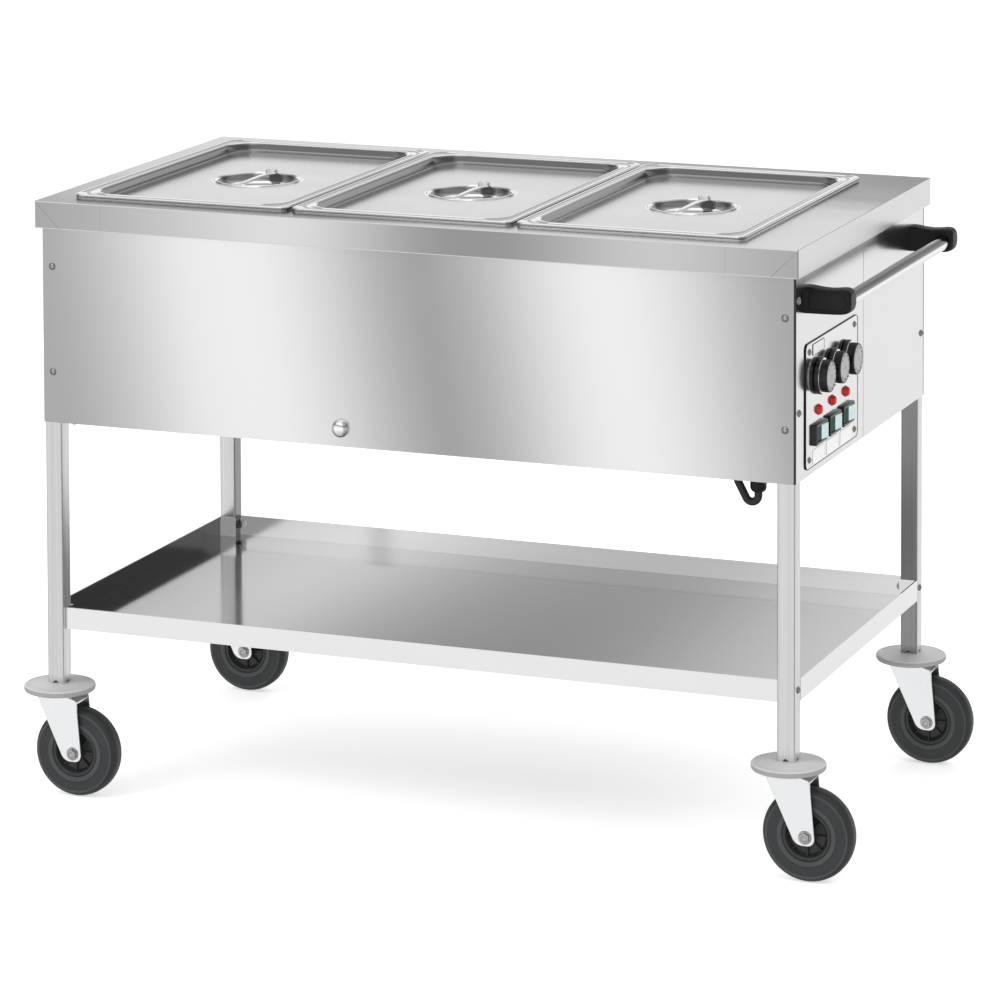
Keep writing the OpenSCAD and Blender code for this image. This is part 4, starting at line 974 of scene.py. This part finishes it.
def gland_shape():
    """Hexagon body, ribbed cap, thread through the base and its nut."""
    at = moved(GLAND_X, GLAND_Y, 528)
    body = ((13, 0), (13.85, -0.8), (13.85, -8), (13, -9), (10.4, -9.2), (10.4, 0))
    cap = ((10.4, -8.8, 0), (10.9, -9.6, 0), (11, -10.4, 0.5), (11, -19, 0.5), (10.8, -20.6, 0.2),
           (10, -22.2, 0), (8.2, -24.6, 0), (7, -25, 0), (5.7, -24.6, 0), (5.6, -8.8, 0))
    thread = ((5.6, -0.4), (10, -0.4), (10, 9), (5.6, 9))
    nut = ((10, 2), (13.3, 2), (13.85, 2.6), (13.85, 6.4), (13.3, 7), (10, 7))
    shape = Shape()
    shape.add(*lathe(body, 6, ring=True), at)
    shape.add(*loft([circle(r, z, 96, w, 16) for r, z, w in cap], ring=True), at)
    shape.add(*lathe(thread, 48, ring=True), at)
    shape.add(*lathe(nut, 6, ring=True), at)
    return shape


make(gland_shape(), "gland_body", "frame", [M["black"]], ["cable_gland"], 30)


def cable_path():
    """From the terminal block through the gland, round a loop, under the body to the plug."""
    inner_r, loop_r, turn_r, drop_r = 15, 9, 8.5, 40
    top_z, loop_z, rise_length = 538.5, 497.5, 23.4
    tilt = radians(28)
    rise = Vector((-sin(tilt), 0, cos(tilt)))
    quarter = [pi / 20 * k for k in range(11)]
    path = [Vector((GLAND_X, -121 - 8 * k, top_z + inner_r)) for k in range(15)]
    path += [Vector((GLAND_X, GLAND_Y + inner_r - inner_r * sin(a), top_z + inner_r * cos(a)))
             for a in quarter]
    path += [Vector((GLAND_X, GLAND_Y, top_z - 7 * k)) for k in range(1, 6)]
    path += [Vector((GLAND_X - loop_r + loop_r * cos(a), GLAND_Y, loop_z + loop_r * sin(a)))
             for a in (radians(-8 * k) for k in range(20))]
    high = path[-1] + rise * rise_length
    path += [path[-1] + rise * (rise_length * k / 4) for k in range(1, 5)]
    centre = high + Vector((0, turn_r, 0))
    path += [centre + Vector((0, -cos(a), 0)) * turn_r + rise * turn_r * sin(a)
             for a in quarter[1:]]
    x, y, z = path[-1]
    half = acos(1 - (z - PLUG_Z) / (2 * drop_r))
    drop_y = PLUG_Y - 2 * drop_r * sin(half)
    path += [Vector((x, y + (drop_y - y) * k / 24, z)) for k in range(1, 24)]
    eighths = [half * k / 8 for k in range(9)]
    path += [Vector((x, drop_y + drop_r * sin(a), z - drop_r + drop_r * cos(a)))
             for a in eighths]
    path += [Vector((x, PLUG_Y - drop_r * sin(a), PLUG_Z + drop_r - drop_r * cos(a)))
             for a in reversed(eighths[:-1])]
    return path + [Vector((x, PLUG_Y + 3, PLUG_Z))]


CABLE = cable_path()
make(Shape().add(*sweep(CABLE, 5.4, 24)), "cable_run", "frame", [M["rubber"]],
     ["power_cable"], 40)

plug = Shape()
plug.add(*lathe((
    (6, 141), (7.6, 141.2), (8.2, 143.4), (7.2, 144), (7.2, 145), (9.2, 145.6), (9.6, 147.8),
    (8.8, 148.4), (8.8, 149.2), (11.2, 150.2), (14.6, 153.2), (17.2, 157.6), (18, 162), (18, 166),
    (17.3, 167), (17.3, 169), (18, 170), (18, 174), (17.3, 175), (17.3, 177), (18, 178), (18, 188.2),
    (17.2, 189.8), (15, 190)), 64), along((CABLE[-1].x, 0, PLUG_Z), (0, 1, 0)))
for side in (-9.5, 9.5):
    pin_at = along((CABLE[-1].x + side, 0, PLUG_Z), (0, 1, 0))
    plug.add(*lathe(((2.4, 189), (2.4, 207), (1.9, 208.4), (0.8, 209)), 24), pin_at, 1)
make(plug, "plug_body", "frame", [M["black"], M["brass"]], ["plug"], 32)


# ---- stage, light, camera

def pale_floor():
    """Pale floor that takes shadows and isn't mirrored in the steel."""
    size, depth, glow_strength = 60, -0.0005, 0.55
    mesh = bpy.data.meshes.new("studio_floor")
    mesh.from_pydata([(x * size, y * size, depth) for x, y in ((-1, -1), (1, -1), (1, 1), (-1, 1))],
                     [], [(0, 1, 2, 3)])
    floor = bpy.data.objects.new("studio_floor", mesh)
    SCENE.collection.objects.link(floor)
    material, n = new_material("pale_floor")
    cloud = n.noise(n.add("ShaderNodeTexCoord").outputs["Object"], 1.5, 3)
    diffuse = n.add("ShaderNodeBsdfDiffuse", {"Color": n.ramp(cloud, ((0, 0.9), (1, 0.93)))})
    glow = n.add("ShaderNodeEmission", {"Color": (1, 1, 1, 1), "Strength": glow_strength})
    both = n.add("ShaderNodeAddShader", {0: diffuse.outputs[0], 1: glow.outputs[0]})
    n.add("ShaderNodeOutputMaterial", {"Surface": both.outputs[0]})
    mesh.materials.append(material)
    floor.visible_glossy = False


# Brightness of the studio: by height, from straight down (0) through level (0.5) to straight up (1),
# and by direction round the part, below and above eye level.
BY_HEIGHT = ((0, 0.45), (0.3, 0.78), (0.4, 0.97), (0.5, 0.95), (0.56, 0.88), (0.6, 0.92), (0.63, 0.74),
             (0.66, 0.44), (0.755, 0.4), (0.785, 0.85), (0.86, 1.05), (1, 1.05))
LOW_BANDS = ((0, 0.96), (0.14, 0.96), (0.21, 0.45), (0.28, 0.45), (0.35, 1), (0.56, 1), (0.66, 0.45),
             (0.75, 0.45), (0.86, 0.96), (1, 0.96))
HIGH_BANDS = ((0, 0.95), (0.13, 1), (0.18, 0.4), (0.28, 0.4), (0.34, 1), (0.58, 1), (0.63, 0.45),
              (0.7, 0.42), (0.84, 0.55), (0.93, 0.4), (0.98, 0.95))
LOW_TO_HIGH = ((0.545, 0), (0.6, 1))


def studio_world():
    """White to the camera; a soft studio with a darker ceiling band to everything else."""
    world = bpy.data.worlds.new("studio")
    SCENE.world = world
    world.use_nodes = True
    n = Nodes(world.node_tree)
    axes = n.xyz(n.add("ShaderNodeTexCoord").outputs["Generated"])
    height = n.math("ADD", n.math("MULTIPLY", axes[2], 0.5), 0.5)
    tone = n.ramp(height, BY_HEIGHT)
    turn = n.math("ARCTAN2", axes[0], n.math("MULTIPLY", axes[1], -1))
    turn = n.math("ADD", n.math("DIVIDE", turn, 2 * pi), 0.5)
    bands = n.add("ShaderNodeMix", data_type="RGBA")
    for index, value in ((0, n.ramp(height, LOW_TO_HIGH)), (6, n.ramp(turn, LOW_BANDS)),
                         (7, n.ramp(turn, HIGH_BANDS))):
        n.tree.links.new(value, bands.inputs[index])
    light = n.times(tone, bands.outputs[2])
    soft = n.add("ShaderNodeBackground", {"Color": light, "Strength": 1.08})
    white = n.add("ShaderNodeBackground", {"Color": (1, 1, 1, 1), "Strength": 1})
    path = n.add("ShaderNodeLightPath").outputs["Is Camera Ray"]
    mixed = n.add("ShaderNodeMixShader", {0: path, 1: soft.outputs[0], 2: white.outputs[0]})
    n.add("ShaderNodeOutputWorld", {"Surface": mixed.outputs[0]})


def soft_light(name, pos, target, size, power):
    """Area lamp that is seen neither directly nor in the steel. Lengths in metres, power in watts."""
    data = bpy.data.lights.new(name, "AREA")
    data.shape = "RECTANGLE"
    data.size, data.size_y = size
    data.energy = power
    lamp = bpy.data.objects.new(name, data)
    SCENE.collection.objects.link(lamp)
    lamp.location = pos
    lamp.rotation_euler = (Vector(target) - Vector(pos)).to_track_quat("-Z", "Y").to_euler()
    lamp.visible_camera = False
    lamp.visible_glossy = False


pale_floor()
studio_world()
soft_light("key", (-2.6, -3.4, 3.2), (0, 0, 0.6), (2.4, 2), 60)
soft_light("fill", (3.4, -1.6, 2.4), (0.3, 0, 0.6), (2, 2), 35)
soft_light("back", (0.5, 3.6, 2.8), (0, 0, 0.7), (3, 1.5), 30)


# The photograph's camera, fitted from the part's known lengths: where it stands as seen from a
# point over the body's centre, in millimetres, its angles in degrees and its lens shift
CAM_AZIMUTH, CAM_TILT, CAM_ROLL = 21.437, 3.773, -0.187
CAM_RIGHT, CAM_UP, CAM_BACK, CAM_BASE_Z = 18.247, 1028.891, 6437.26, 450
CAM_LENS, CAM_SENSOR, CAM_SHIFT = 163.9332, 36, -0.765374


def photo_camera():
    """Camera with a shifted lens at the photograph's viewing angle."""
    azimuth, tilt, roll = (radians(a) for a in (CAM_AZIMUTH, CAM_TILT, CAM_ROLL))
    back = Vector((sin(azimuth) * cos(tilt), -cos(azimuth) * cos(tilt), sin(tilt)))
    right = Vector((cos(azimuth), sin(azimuth), 0))
    up = back.cross(right)
    place = right * CAM_RIGHT + up * CAM_UP + back * CAM_BACK + Vector((MID_X, 0, CAM_BASE_Z))
    across = right * cos(roll) + up * sin(roll)
    above = up * cos(roll) - right * sin(roll)
    data = bpy.data.cameras.new("photo_camera")
    data.sensor_width, data.lens = CAM_SENSOR, CAM_LENS
    data.clip_start, data.clip_end = 0.1, 200
    camera = bpy.data.objects.new("photo_camera", data)
    SCENE.collection.objects.link(camera)
    basis = Matrix((across, above, back)).transposed().to_4x4()
    camera.matrix_world = Matrix.Translation(place * MM) @ basis
    SCENE.camera = camera
    # The shift holds only where the camera stands for the photograph. From any other place it would
    # push the part out of the frame, so there it is zero.
    rule = data.driver_add("shift_y").driver
    rule.type = "SCRIPTED"
    where = rule.variables.new()
    where.name = "x"
    where.type = "SINGLE_PROP"
    where.targets[0].id = camera
    where.targets[0].data_path = "location[0]"
    rule.expression = f"{CAM_SHIFT} if abs(x - {camera.location.x:.6f}) < 0.001 else 0.0"


photo_camera()
SCENE.view_settings.view_transform = "Standard"
